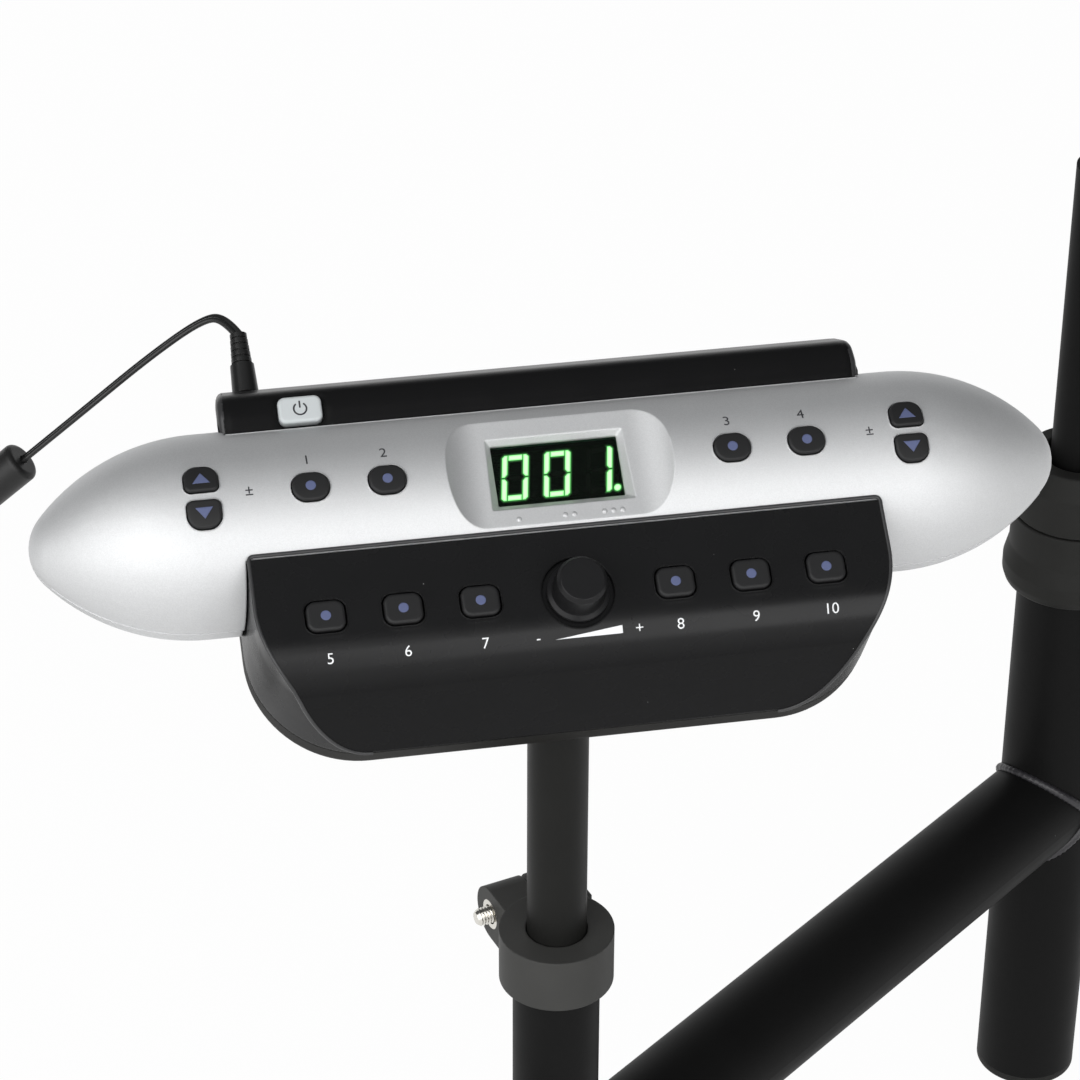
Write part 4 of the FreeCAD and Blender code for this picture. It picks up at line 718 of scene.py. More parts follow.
def add_bead(form: Form, path: Sequence[Vector], radius: float, ripple: float = 0.12,
             closed: bool = True) -> None:
    """Run a round bead along a line.

    Args:
        form: Mesh to add to.
        path: Points of the line in the part frame, in metres.
        radius: Mean radius of the bead in millimetres.
        ripple: Share of the radius by which a weld swells and shrinks.
        closed: The last point meets the first.
    """
    loops = []
    travelled = 0.0
    last = len(path) - 1
    for i, spot in enumerate(path):
        back = path[i - 1] if closed or i > 0 else spot
        ahead = path[(i + 1) % len(path)] if closed or i < last else spot
        travelled += (spot - back).length / MM
        way = (ahead - back).normalized()
        side = way.orthogonal().normalized()
        up = way.cross(side)
        swell = radius * (1 + ripple * math.sin(travelled * 2 * math.pi / RIPPLE_MM)) * MM
        spokes = [side * math.cos(a) + up * math.sin(a) for a in full_turn(BEAD_SIDES)]
        loops.append([form.verts.new(spot + spoke * swell) for spoke in spokes])
    skin(form, loops, closed, match=True)


def round_outline(centre: Flat, radius: float, count: int = 32) -> list[Flat]:
    """Give the corners of a circle."""
    x, y = centre
    return [(x + radius * math.cos(a), y + radius * math.sin(a)) for a in full_turn(count)]


def rounded(corners: Sequence[Flat], radii: Sequence[float]) -> list[Flat]:
    """Round the corners of an outline.

    Args:
        corners: Corners, in order.
        radii: Radius of each corner, 0 for a sharp one.

    Returns:
        The points of the rounded outline.
    """
    points = []
    for i, (corner, radius) in enumerate(zip(corners, radii)):
        here = Vector(corner)
        back = (Vector(corners[i - 1]) - here).normalized()
        ahead = (Vector(corners[(i + 1) % len(corners)]) - here).normalized()
        if radius <= 0:
            points.append(corner)
            continue
        half = back.angle(ahead) / 2
        hub = here + (back + ahead).normalized() * radius / math.sin(half)
        first = here + back * radius / math.tan(half) - hub
        last = here + ahead * radius / math.tan(half) - hub
        for share in even(0.0, 1.0, CORNER_STEPS):
            spoke = first.lerp(last, share).normalized() * radius
            points.append(tuple(hub + spoke))
    return points


def offset(outline: Sequence[Flat], reach: float) -> list[Flat]:
    """Move an outline's corners out, or in where reach is negative.

    Args:
        outline: Corners of a convex or nearly convex shape, in order.
        reach: Distance to move each side.

    Returns:
        The moved corners.
    """
    area = sum(a[0] * b[1] - b[0] * a[1] for a, b in zip(outline, [*outline[1:], outline[0]]))
    way = 1.0 if area > 0 else -1.0
    moved = []
    for i, here in enumerate(outline):
        back = Vector(here) - Vector(outline[i - 1])
        ahead = Vector(outline[(i + 1) % len(outline)]) - Vector(here)
        first = Vector((back.y, -back.x)).normalized() * way
        second = Vector((ahead.y, -ahead.x)).normalized() * way
        middle = (first + second).normalized()
        step = reach / max(LEAST_MITRE, middle.dot(first))
        moved.append((here[0] + middle.x * step, here[1] + middle.y * step))
    return moved


@dataclass(frozen=True)
class Seat:
    """Where the module sits, and the surfaces that carry its marks."""

    x: float = -227.5
    y: float = -170.0
    z: float = 393.5
    tilt_deg: float = 36.0
    body_r: float = 30.4
    straight: float = 105.0
    sweep_r: float = 63.0
    visor_z: float = 25.5
    bend_y: float = -42.9
    bend_r: float = 16.0
    bend_deg: float = 71.9

    def point(self, x: float, y: float, z: float) -> Vector:
        """Move a point from the module frame to the part frame, in metres."""
        return (self.way(x, y, z) + Vector((self.x, self.y, self.z))) * MM

    def way(self, x: float, y: float, z: float) -> Vector:
        """Turn a direction from the module frame to the part frame."""
        return Matrix.Rotation(math.radians(self.tilt_deg), 3, "X") @ Vector((x, y, z))

    def crown(self, x: float, y: float, lift: float) -> Vector:
        """Lay a point on the silver body, lifted out of its face.

        Args:
            x: Place along the body.
            y: Place across the body.
            lift: Height above the surface.

        Returns:
            The point in the part frame.
        """
        radius = self.girth(x, lift)
        return self.point(x, y, math.sqrt(max(0.0, radius * radius - y * y)))

    def girth(self, x: float, lift: float = 0.0) -> float:
        """Give the radius of the silver body at one place along it, lifted out of its face."""
        past = max(0.0, abs(x) - self.straight)
        return self.body_r - self.sweep_r + math.sqrt((self.sweep_r + lift) ** 2 - past * past)

    def visor(self, x: float, along: float, lift: float) -> Vector:
        """Lay a point on the front panel, where along is y on its flat and arc length past the bend.

        Args:
            x: Place along the panel.
            along: Place down the panel.
            lift: Height above the surface.

        Returns:
            The point in the part frame.
        """
        if along >= self.bend_y:
            return self.point(x, along, self.visor_z + lift)
        turn = min((self.bend_y - along) / self.bend_r, math.radians(self.bend_deg))
        rest = self.bend_y - along - turn * self.bend_r
        radius = self.bend_r + lift
        y = self.bend_y - radius * math.sin(turn) - rest * math.cos(turn)
        z = self.visor_z - self.bend_r + radius * math.cos(turn) - rest * math.sin(turn)
        return self.point(x, y, z)


SEAT = Seat()


@dataclass(frozen=True)
class Spindle:
    """An axis that round pieces are turned about."""

    foot: Vector
    along: Vector

    def point(self, radius: float, angle: float, height: float) -> Vector:
        """Give a point beside the axis.

        Args:
            radius: Distance from the axis.
            angle: Turn about the axis, in radians.
            height: Height above the foot.

        Returns:
            The point in the part frame, in metres.
        """
        side = self.along.orthogonal().normalized()
        out = side * math.cos(angle) + self.along.cross(side) * math.sin(angle)
        return self.foot + (self.along * height + out * radius) * MM

    def turn(self, form: Form, rings: Sequence[tuple[Profile, float]], count: int = 48,
             closed: bool = False) -> None:
        """Skin rings round the axis.

        Args:
            form: Mesh to add to.
            rings: Radius by angle, and height, of each ring.
            count: Points of a ring.
            closed: The last ring meets the first, as in a washer.
        """
        loops = []
        for shape, height in rings:
            spots = [self.point(shape(angle), angle, height) for angle in full_turn(count)]
            loops.append([form.verts.new(spot) for spot in spots])
        skin(form, loops, closed)


def circle(radius: float) -> Profile:
    """Give the outline of a circle as a radius by angle."""
    return lambda angle: radius


def hexagon(half: float) -> Profile:
    """Give the outline of a hexagon as a radius by angle, from half its width across flats."""
    return lambda angle: half / math.cos((angle + math.pi / 6) % (math.pi / 3) - math.pi / 6)


def cross_slot(reach: float, half: float) -> Profile:
    """Give the outline of a cross recess as a radius by angle.

    Args:
        reach: Length of an arm from the middle.
        half: Half its width.

    Returns:
        Radius by angle.
    """
    def radius(angle: float) -> float:
        """Give the radius at one angle."""
        off = abs((angle + math.pi / 4) % (math.pi / 2) - math.pi / 4)
        return min(reach / math.cos(off), half / max(math.sin(off), half / reach / 4))
    return radius


def add_pan_screw(form: Form, axis: Spindle, shank: Flat, head: Flat) -> None:
    """Add a pan-head screw with a cross recess; its head lies below the foot of the axis.

    Args:
        form: Mesh to add to.
        axis: Its foot is where the head meets the work.
        shank: Radius and length of the shank.
        head: Radius and height of the head.
    """
    radius, height = head
    core, length = shank
    rings = [(cross_slot(*(radius * share for share in RECESS_FLOOR)), -height * RECESS_SINK),
             (cross_slot(*(radius * share for share in RECESS_MOUTH)), -height)]
    rings += [(circle(radius * wide), -height * up) for wide, up in PAN_HEAD]
    rings += [(circle(core), 0.0), (circle(core), length - core), (circle(core * SHANK_TIP), length)]
    axis.turn(form, rings)


@dataclass
class Housing:
    """Silver shells, black panel, tub and rear cover, with their screws."""

    bump_y: float = -13.8
    bump_x: tuple[float, ...] = (-14.0, 1.1, 14.1)
    bump_r: float = 0.8
    bump_pitch: float = 2.7
    trough_z: float = 25.2
    trough_fall: float = 0.0437
    tub_foot: float = -26.0
    end_seat: float = -9.0
    tub_screws: tuple[Flat, ...] = ((-60.0, -55.5), (60.0, -55.5), (-61.0, 38.0), (24.0, 38.0))
    end_screws: tuple[Flat, ...] = ((-122.0, 0.0), (122.0, 0.0))
    screw_shank: Flat = (1.5, 20.0)
    screw_head: Flat = (3.0, 1.8)
    rim_r: float = 0.6
    rim_sink: float = 0.3
    rim_y: float = -17.2
    rim_corner: float = 1.4
    panel_x: float = 94.0
    panel_flare: float = 0.038
    panel_front: float = -67.4
    panel_corner: float = 34.0
    spine_line: tuple[Flat, ...] = ((24.4, -8.0), (24.4, 15.9), (31.0, 17.2), (37.6, 15.6), (43.0, 5.6),
                                    (45.5, 0.0), (46.0, -8.0))
    spine_radii: tuple[float, ...] = (0.0, 0.8, 6.0, 7.0, 9.0, 6.0, 0.0)
    spine_x: float = 95.3
    spine_lean: float = 0.1
    parting_x: Flat = (96.5, 150.0)
    parting_r: float = 0.2
    foot_y: float = 24.0
    spine_dome: tuple[Flat, ...] = ((0.0, -0.4), (0.0, 0.0), (0.35, 0.8), (1.0, 1.4), (2.0, 1.8), (3.4, 2.0))
    bump_rings: tuple[Flat, ...] = ((1.0, -0.15), (1.0, 0.1), (0.8, 0.24), (0.45, 0.34))
    bump_sides: int = 20
    side_steps: int = 40
    corner_steps: int = 6

    def dress(self) -> None:
        """Give the shells their finishes."""
        dress(SILVER_PAINT, "upper_shell", "left_end_shell", "right_end_shell")
        dress(SATIN_BLACK, "front_panel")
        dress(SPINE_BLACK, "rear_cover")
        dress(MATTE_BLACK, "base_tub")

    def build(self) -> None:
        """Make the dots, the screws and the fine edges in turn."""
        self.build_dots()
        self.build_screws()
        self.build_edges()

    def build_dots(self) -> None:
        """Raise one, two and three dots under the display."""
        form = bmesh.new()
        for count, middle in enumerate(self.bump_x, start=1):
            for k in range(count):
                self.add_dome(form, middle + (k - (count - 1) / 2) * self.bump_pitch)
        add_piece("trough_dots", form, SILVER_PAINT, "module", SOFT_DEG)

    def build_screws(self) -> None:
        """Turn the screws that hold the tub and the ends."""
        form = bmesh.new()
        seats = [(x, y, self.tub_foot) for x, y in self.tub_screws]
        seats += [(x, y, self.end_seat) for x, y in self.end_screws]
        for spot in seats:
            axis = Spindle(SEAT.point(*spot), SEAT.way(0, 0, 1))
            add_pan_screw(form, axis, self.screw_shank, self.screw_head)
        screws = add_piece("housing_pan_screws", form, ZINC_STEEL, "module")
        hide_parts("housing_screws")

    def build_edges(self) -> None:
        """Round the panel's rim and the spine's ends, and lay lips along the parting line and the spine."""
        # The rim bead and the spine ends take the paler rim black, a painted highlight on their rounded
        # edges.
        form = bmesh.new()
        add_bead(form, self.rim_path(), self.rim_r, 0.0, False)
        add_piece("panel_rim", form, RIM_SHEEN_BLACK, "module", SOFT_DEG)
        form = bmesh.new()
        for side in BOTH:
            self.add_dome_end(form, side)
        add_piece("spine_ends", form, RIM_SHEEN_BLACK, "module", SOFT_DEG)
        form = bmesh.new()
        line = even(*self.parting_x, LIP_STEPS)
        for side in BOTH:
            for way in BOTH:
                path = [SEAT.point(side * x, way * SEAT.girth(x), 0.0) for x in line]
                add_bead(form, path, self.parting_r, 0.0, False)
        line = even(-self.spine_x, self.spine_x, LIP_STEPS)
        add_bead(form, [SEAT.crown(x, self.foot_y, 0.0) for x in line], self.parting_r, 0.0, False)
        add_piece("parting_lips", form, SILVER_PAINT, "module", SOFT_DEG)

    def add_dome_end(self, form: Form, side: float) -> None:
        """Round off one end of the black spine.

        Args:
            form: Mesh to add to.
            side: -1 for the left end, 1 for the right end.
        """
        outline = rounded(self.spine_line, self.spine_radii)
        top = max(z for _, z in outline)
        loops = []
        for inset, out in self.spine_dome:
            loop = []
            for y, z in offset(outline, -inset):
                x = self.spine_x + out - self.spine_lean * (top - z)
                loop.append(form.verts.new(SEAT.point(side * x, y, z)))
            loops.append(loop)
        skin(form, loops)

    def rim_path(self) -> list[Vector]:
        """Give the line of the rounded rim, from the foot of one side over the top edge to the other.

        Returns:
            Points in the part frame.
        """
        half = []
        for a in even(math.pi / 2, 0.0, self.side_steps):
            half.append(self.rim_side(self.panel_front + self.panel_corner * (1 - math.sin(a))))
        r = self.rim_corner
        top = SEAT.visor_z - self.rim_sink
        corner = (self.panel_x - self.rim_sink - r, self.rim_y - r)
        for a in even(0.0, math.pi / 2, self.corner_steps):
            half.append((corner[0] + r * math.cos(a), corner[1] + r * math.sin(a), top))
        right = [SEAT.point(x, y, z) for x, y, z in half]
        left = [SEAT.point(-x, y, z) for x, y, z in reversed(half)]
        return right + left

    def rim_side(self, y: float) -> Spot:
        """Give the panel's side edge at one place down the panel.

        Args:
            y: Place down the panel, between its straight side and its foot.

        Returns:
            The point in the module frame, a little inside the edge.
        """
        bend = math.radians(SEAT.bend_deg)
        arc_end = SEAT.bend_y - SEAT.bend_r * math.sin(bend)
        if y >= SEAT.bend_y:
            z = SEAT.visor_z
        elif y >= arc_end:
            z = SEAT.visor_z - SEAT.bend_r + math.sqrt(SEAT.bend_r ** 2 - (SEAT.bend_y - y) ** 2)
        else:
            fall = math.tan(bend) * (arc_end - y)
            z = SEAT.visor_z - SEAT.bend_r * (1 - math.cos(bend)) - fall
        edge = self.panel_x + self.panel_flare * (SEAT.visor_z - z)
        down = max(0.0, self.panel_front + self.panel_corner - y)
        reach = math.sqrt(max(0.0, self.panel_corner ** 2 - down ** 2))
        return (edge - self.panel_corner + reach - self.rim_sink, y, z - self.rim_sink)

    def add_dome(self, form: Form, x: float) -> None:
        """Add one low dome to the floor of the trough.

        Args:
            form: Mesh to add to.
            x: Its place along the trough.
        """
        foot = SEAT.point(x, self.bump_y, self.trough_z - self.trough_fall * self.bump_y)
        turned = [(circle(self.bump_r * share), height) for share, height in self.bump_rings]
        Spindle(foot, SEAT.way(0, 0, 1)).turn(form, turned, self.bump_sides)


@dataclass
class DisplayUnit:
    """Dark filter and three seven-part digits that read a plain number."""

    face_z: float = 20.3
    pitch: float = 12.6
    middle_x: float = 0.15
    middle_y: float = 1.45
    digit_w: float = 7.9
    digit_h: float = 14.2
    stroke: float = 1.6
    gap: float = 0.28
    slant_deg: float = 9.0
    glow_reach: float = 0.55
    point_r: float = 1.05
    point_at: Flat = (5.6, -6.1)
    point_sides: int = 24
    corner_share: float = 0.45
    nib_share: float = 0.55
    core_inset: float = 0.28
    lift: float = 0.12
    skirt_lift: float = 0.005
    core: Colour = (0.62, 1.0, 0.56)
    edge: Colour = (0.2, 0.92, 0.22)
    halo: Colour = (0.02, 0.2, 0.025)
    reading: tuple[str, ...] = ("abcdef", "abcdef", "bc")

    def dress(self) -> None:
        """Give the filter and the digit block their finishes."""
        dress(WINDOW_FILTER, "display_window")
        dress(LED_BLACK, "led_display")

    def segments(self) -> dict[str, list[Flat]]:
        """Give the seven outlines of one upright digit.

        Returns:
            Outlines by their usual letters.
        """
        w, h, t, g = self.digit_w / 2, self.digit_h / 2, self.stroke, self.gap
        corner, nib = t * self.corner_share, t * self.nib_share
        top = [(-w + t + g, h - t), (w - t - g, h - t), (w - t - g, h), (-w + t + g, h)]
        side = [(w, g), (w, h - corner), (w - corner, h), (w - t, h), (w - t, g + nib), (w - nib, g)]
        bar = [(-w + t, 0), (-w + t + nib, -t / 2), (w - t - nib, -t / 2), (w - t, 0), (w - t - nib, t / 2),
               (-w + t + nib, t / 2)]
        return {
            "a": top,
            "d": [(x, -y) for x, y in top],
            "b": side,
            "c": [(x, -y) for x, y in side],
            "f": [(-x, y) for x, y in side],
            "e": [(-x, -y) for x, y in side],
            "g": bar,
        }

    def lean(self, x: float, y: float, digit: int) -> Flat:
        """Slant a point of a digit and move it to its place."""
        shift = self.middle_x + (digit - 1) * self.pitch
        return (shift + x + y * math.tan(math.radians(self.slant_deg)), self.middle_y + y)

    def build(self) -> None:
        """Make the lit parts with their glow, and the dark parts."""
        lit, dark = bmesh.new(), bmesh.new()
        paint = lit.verts.layers.float_color.new(GLOW_LAYER)
        for digit, letters in enumerate(self.reading):
            shapes = self.segments()
            shapes["point"] = round_outline(self.point_at, self.point_r, self.point_sides)
            for letter, outline in shapes.items():
                leant = [self.lean(x, y, digit) for x, y in outline]
                last_point = letter == "point" and digit == len(self.reading) - 1
                if letter in letters or last_point:
                    self.add_lit(lit, paint, leant)
                else:
                    add_plate(dark, leant, SEAT.point, self.face_z, self.face_z + self.lift / 4)
        add_piece("lit_segments", lit, DIGIT_LIGHT, "module")
        add_piece("dark_segments", dark, LED_BLACK, "module")

    def add_lit(self, form: Form, paint: object, outline: Sequence[Flat]) -> None:
        """Add one lit part: a bright plate with a faint skirt of light on the dark face.

        Args:
            form: Mesh to add to.
            paint: Colour layer of its points.
            outline: Corners, in order.
        """
        steps = [(self.glow_reach, self.skirt_lift, (0.0, 0.0, 0.0)), (0.0, self.lift / 2, self.halo),
                 (0.0, self.lift, self.edge), (-self.stroke * self.core_inset, self.lift, self.core)]
        loops = []
        for reach, height, colour in steps:
            loop = []
            for x, y in offset(outline, reach):
                vert = form.verts.new(SEAT.point(x, y, self.face_z + height))
                vert[paint] = (*colour, 1.0)
                loop.append(vert)
            loops.append(loop)
        skin(form, loops)


@dataclass
class KeyField:
    """Rubber keys with their moulded marks and plain numbers beside them."""

    row_y: float = 0.6
    inner_x: float = 51.25
    outer_x: float = 73.7
    pair_x: float = 105.0
    up_y: float = 6.2
    down_y: float = -4.75
    key_proud: float = 1.3
    panel_y: float = -37.8
    panel_first: float = 28.76
    panel_pitch: float = 22.52
    panel_top: float = 26.7
    dot_r: float = 1.5
    arrow_half: float = 2.6
    arrow_h: float = 3.4
    sink: float = 0.12
    mark_rise: float = 0.07
    ink_rise: float = 0.05
    number_h: float = 3.3
    body_number_y: float = 9.9
    pair_signs: tuple[Flat, ...] = ((-91.5, 1.4), (93.1, 2.1))
    panel_number_along: float = -50.2
    minus_x: float = -13.3
    plus_x: float = 16.5
    wedge_x: Flat = (-8.5, 11.5)
    wedge_h: float = 2.4
    single_half: Flat = (5.4, 4.35)
    single_r: float = 4.1
    pair_half: Flat = (4.9, 4.15)
    pair_radii: Flat = (3.9, 1.9)
    panel_half: Flat = (5.6, 4.55)
    panel_r: float = 2.8
    body_gap: float = 0.3
    panel_gap: float = 0.5
    lip_r: float = 0.22

    def body_keys(self) -> dict[str, tuple[float, float, Sign]]:
        """Give the keys in the silver body.

        Returns:
            Place and mark of each key, by its node.
        """
        return {
            "upper_key_1": (-self.outer_x, self.row_y, Sign.DOT),
            "upper_key_2": (-self.inner_x, self.row_y, Sign.DOT),
            "upper_key_3": (self.inner_x, self.row_y, Sign.DOT),
            "upper_key_4": (self.outer_x, self.row_y, Sign.DOT),
            "tempo_up_key": (-self.pair_x, self.up_y, Sign.UP),
            "tempo_down_key": (-self.pair_x, self.down_y, Sign.DOWN),
            "data_up_key": (self.pair_x, self.up_y, Sign.UP),
            "data_down_key": (self.pair_x, self.down_y, Sign.DOWN),
        }

    def panel_keys(self) -> dict[str, float]:
        """Give the keys in the front panel.

        Returns:
            Place of each key along the panel, by its node.
        """
        right = [self.panel_first + self.panel_pitch * k for k in range(3)]
        spots = [-x for x in reversed(right)] + right
        return {f"panel_key_{k}": x for k, x in enumerate(spots, start=1)}

    def dress(self) -> None:
        """Give all keys their rubber."""
        dress(KEY_RUBBER, *self.body_keys(), *self.panel_keys())

    def outline(self, sign: Sign, x: float, y: float) -> list[Flat]:
        """Give the outline of a mark.

        Args:
            sign: Which mark.
            x: Middle along the key.
            y: Middle across the key.

        Returns:
            Its corners.
        """
        if sign is Sign.DOT:
            return round_outline((x, y), self.dot_r)
        way = 1.0 if sign is Sign.UP else -1.0
        half = self.arrow_h / 2 * way
        return [(x - self.arrow_half, y - half), (x + self.arrow_half, y - half), (x, y + half)]

    def build(self) -> None:
        """Make the marks, the numbers and the volume signs."""
        for name, (x, y, sign) in self.body_keys().items():
            form = bmesh.new()
            base = self.key_proud
            add_plate(form, self.outline(sign, x, y), SEAT.crown, base - self.sink, base + self.mark_rise)
            add_piece(f"{name}_mark", form, MARK_BLUE, name)
        for name, x in self.panel_keys().items():
            form = bmesh.new()
            spot = self.outline(Sign.DOT, x, self.panel_y)
            add_plate(form, spot, SEAT.point, self.panel_top - self.sink, self.panel_top + self.mark_rise)
            add_piece(f"{name}_mark", form, MARK_BLUE, name)
        self.build_prints()
        self.build_lips()

    def build_lips(self) -> None:
        """Run a fine rounded lip round every key opening."""
        silver, black = bmesh.new(), bmesh.new()
        blunt, sharp = self.pair_radii
        for x, y, sign in self.body_keys().values():
            if sign is Sign.DOT:
                half, radii = self.single_half, [self.single_r] * 4
            else:
                low, high = (sharp, blunt) if sign is Sign.UP else (blunt, sharp)
                half, radii = self.pair_half, [low, low, high, high]
            path = [SEAT.crown(u, v, 0.0) for u, v in self.opening((x, y), half, radii, self.body_gap)]
            add_bead(silver, path, self.lip_r, 0.0)
        for x in self.panel_keys().values():
            ring = self.opening((x, self.panel_y), self.panel_half, [self.panel_r] * 4, self.panel_gap)
            add_bead(black, [SEAT.visor(u, v, 0.0) for u, v in ring], self.lip_r, 0.0)
        add_piece("key_lips", silver, SILVER_PAINT, "module", SOFT_DEG)
        add_piece("panel_key_lips", black, SATIN_BLACK, "module", SOFT_DEG)

    def opening(self, centre: Flat, half: Flat, radii: Sequence[float], gap: float) -> list[Flat]:
        """Give the line just outside a key's opening.

        Args:
            centre: Middle of the key.
            half: Half its width and height.
            radii: Radii of its corners, from the lower left anticlockwise.
            gap: Clearance of the key in its opening.

        Returns:
            Points of the line.
        """
        grow = gap + self.lip_r
        wide, high = half[0] + grow, half[1] + grow
        corners = [(centre[0] + sx * wide, centre[1] + sy * high) for sx, sy in CORNERS]
        return rounded(corners, [radius + grow for radius in radii])

    def build_prints(self) -> None:
        """Print plain numbers by the keys, and minus, wedge and plus under the knob."""
        grey, white = bmesh.new(), bmesh.new()
        singles = [x for x, _, sign in self.body_keys().values() if sign is Sign.DOT]
        for number, x in enumerate(singles, start=1):
            spot = (x, self.body_number_y)
            add_text(grey, str(number), self.number_h, spot, SEAT.crown, -self.sink, self.ink_rise)
        for spot in self.pair_signs:
            add_text(grey, "±", self.number_h, spot, SEAT.crown, -self.sink, self.ink_rise)
        along = self.panel_number_along
        prints = {str(k): x for k, x in enumerate(self.panel_keys().values(), start=len(singles) + 1)}
        for text, x in {**prints, "-": self.minus_x, "+": self.plus_x}.items():
            add_text(white, text, self.number_h, (x, along), SEAT.visor, -self.sink, self.ink_rise)
        low = along - self.wedge_h / 2
        first, last = self.wedge_x
        wedge = [(first, low), (last, low), (last, low + self.wedge_h)]
        add_plate(white, wedge, SEAT.visor, -self.sink, self.ink_rise)
        add_piece("body_numbers", grey, GREY_INK, "module")
        add_piece("panel_numbers", white, WHITE_INK, "module")


@dataclass
class Controls:
    """Volume knob, power button and what they turn or press."""

    button_x: float = -72.5
    button_y: float = 30.3
    button_top: float = 18.6
    ring_r: float = 1.9
    ring_w: float = 0.5
    ring_open_deg: float = 35.0
    ring_steps: int = 28
    bar_foot: float = 0.3
    bar_h: float = 2.2
    rise: float = 0.05

    def dress(self) -> None:
        """Give the knob, its pot, the button and its switch their finishes."""
        dress(KNOB_BLACK, "volume_knob")
        dress(TURNED_METAL, "pot_shaft", "volume_pot")
        dress(BUTTON_GREY, "power_button")
        dress(SOCKET_BLACK, "power_switch")

    def build(self) -> None:
        """Print the plain on-off sign on the power button."""
        form = bmesh.new()
        low, high = self.button_top - self.rise, self.button_top + self.rise
        half = self.ring_w / 2
        first = math.radians(90 + self.ring_open_deg)
        last = math.radians(450 - self.ring_open_deg)
        turns = even(first, last, self.ring_steps)
        ring = [(self.ring_r + half, a) for a in turns] + [(self.ring_r - half, a) for a in reversed(turns)]
        outline = [(self.button_x + r * math.cos(a), self.button_y + r * math.sin(a)) for r, a in ring]
        add_plate(form, outline, SEAT.point, low, high)
        foot, top = self.bar_foot, self.bar_foot + self.bar_h
        corners = ((-half, foot), (half, foot), (half, top), (-half, top))
        bar = [(self.button_x + x, self.button_y + y) for x, y in corners]
        add_plate(form, bar, SEAT.point, low, high)
        add_piece("power_sign", form, GREY_INK, "power_button")


@dataclass
class Insides:
    """Boards, mats and screws inside the housing, and the sockets in its rear wall."""

    socket_z: float = -4.4
    jack_x: tuple[float, ...] = (-48.0, -32.0, -16.0, 0.0)
    ring_in: float = 3.3
    ring_out: float = 4.5
    ring_y: Flat = (44.9, 45.45)
    harness_x: float = 58.0
    pin_foot: float = 43.3
    pin_tip: float = 45.0
    pin_r: float = 0.45
    pin_pitch: float = 2.77
    pin_row: float = 1.42
    pins: int = 12
    pin_sides: int = 10
    rim_crease_deg: float = 25.0

    def dress(self) -> None:
        """Give the inner pieces and the sockets their finishes."""
        dress(CIRCUIT_BOARD, "upper_key_board", "front_key_board", "main_board")
        dress(MAT_GREY, "upper_keypad_mat", "front_keypad_mat")
        dress(SOCKET_BLACK, "audio_jacks", "pad_harness_socket", "dc_jack")
        dress(ZINC_STEEL, "board_screws")

    def build(self) -> None:
        """Put rims round the phone sockets and pins in the harness socket."""
        rims, pins = bmesh.new(), bmesh.new()
        back = SEAT.way(0, 1, 0)
        foot, top = self.ring_y
        edge = (top - foot) / 3
        tall = top - foot
        profile = ((self.ring_in, 0.0), (self.ring_in, tall - edge), (self.ring_in + edge, tall),
                   (self.ring_out - edge, tall), (self.ring_out, tall - edge), (self.ring_out, 0.0))
        rings = [(circle(radius), height) for radius, height in profile]
        for x in self.jack_x:
            Spindle(SEAT.point(x, foot, self.socket_z), back).turn(rims, rings, closed=True)
        add_piece("jack_rims", rims, NICKEL, "module", self.rim_crease_deg)
        long = self.pin_tip - self.pin_foot
        profile = ((self.pin_r, 0.0), (self.pin_r, long - self.pin_r), (self.pin_r / 2, long))
        pin = [(circle(radius), height) for radius, height in profile]
        for k in range(self.pins):
            x = self.harness_x + (k - (self.pins - 1) / 2) * self.pin_pitch
            for row in (-self.pin_row, self.pin_row):
                axis = Spindle(SEAT.point(x, self.pin_foot, self.socket_z + row), back)
                axis.turn(pins, pin, self.pin_sides)
        add_piece("harness_pins", pins, NICKEL, "module")


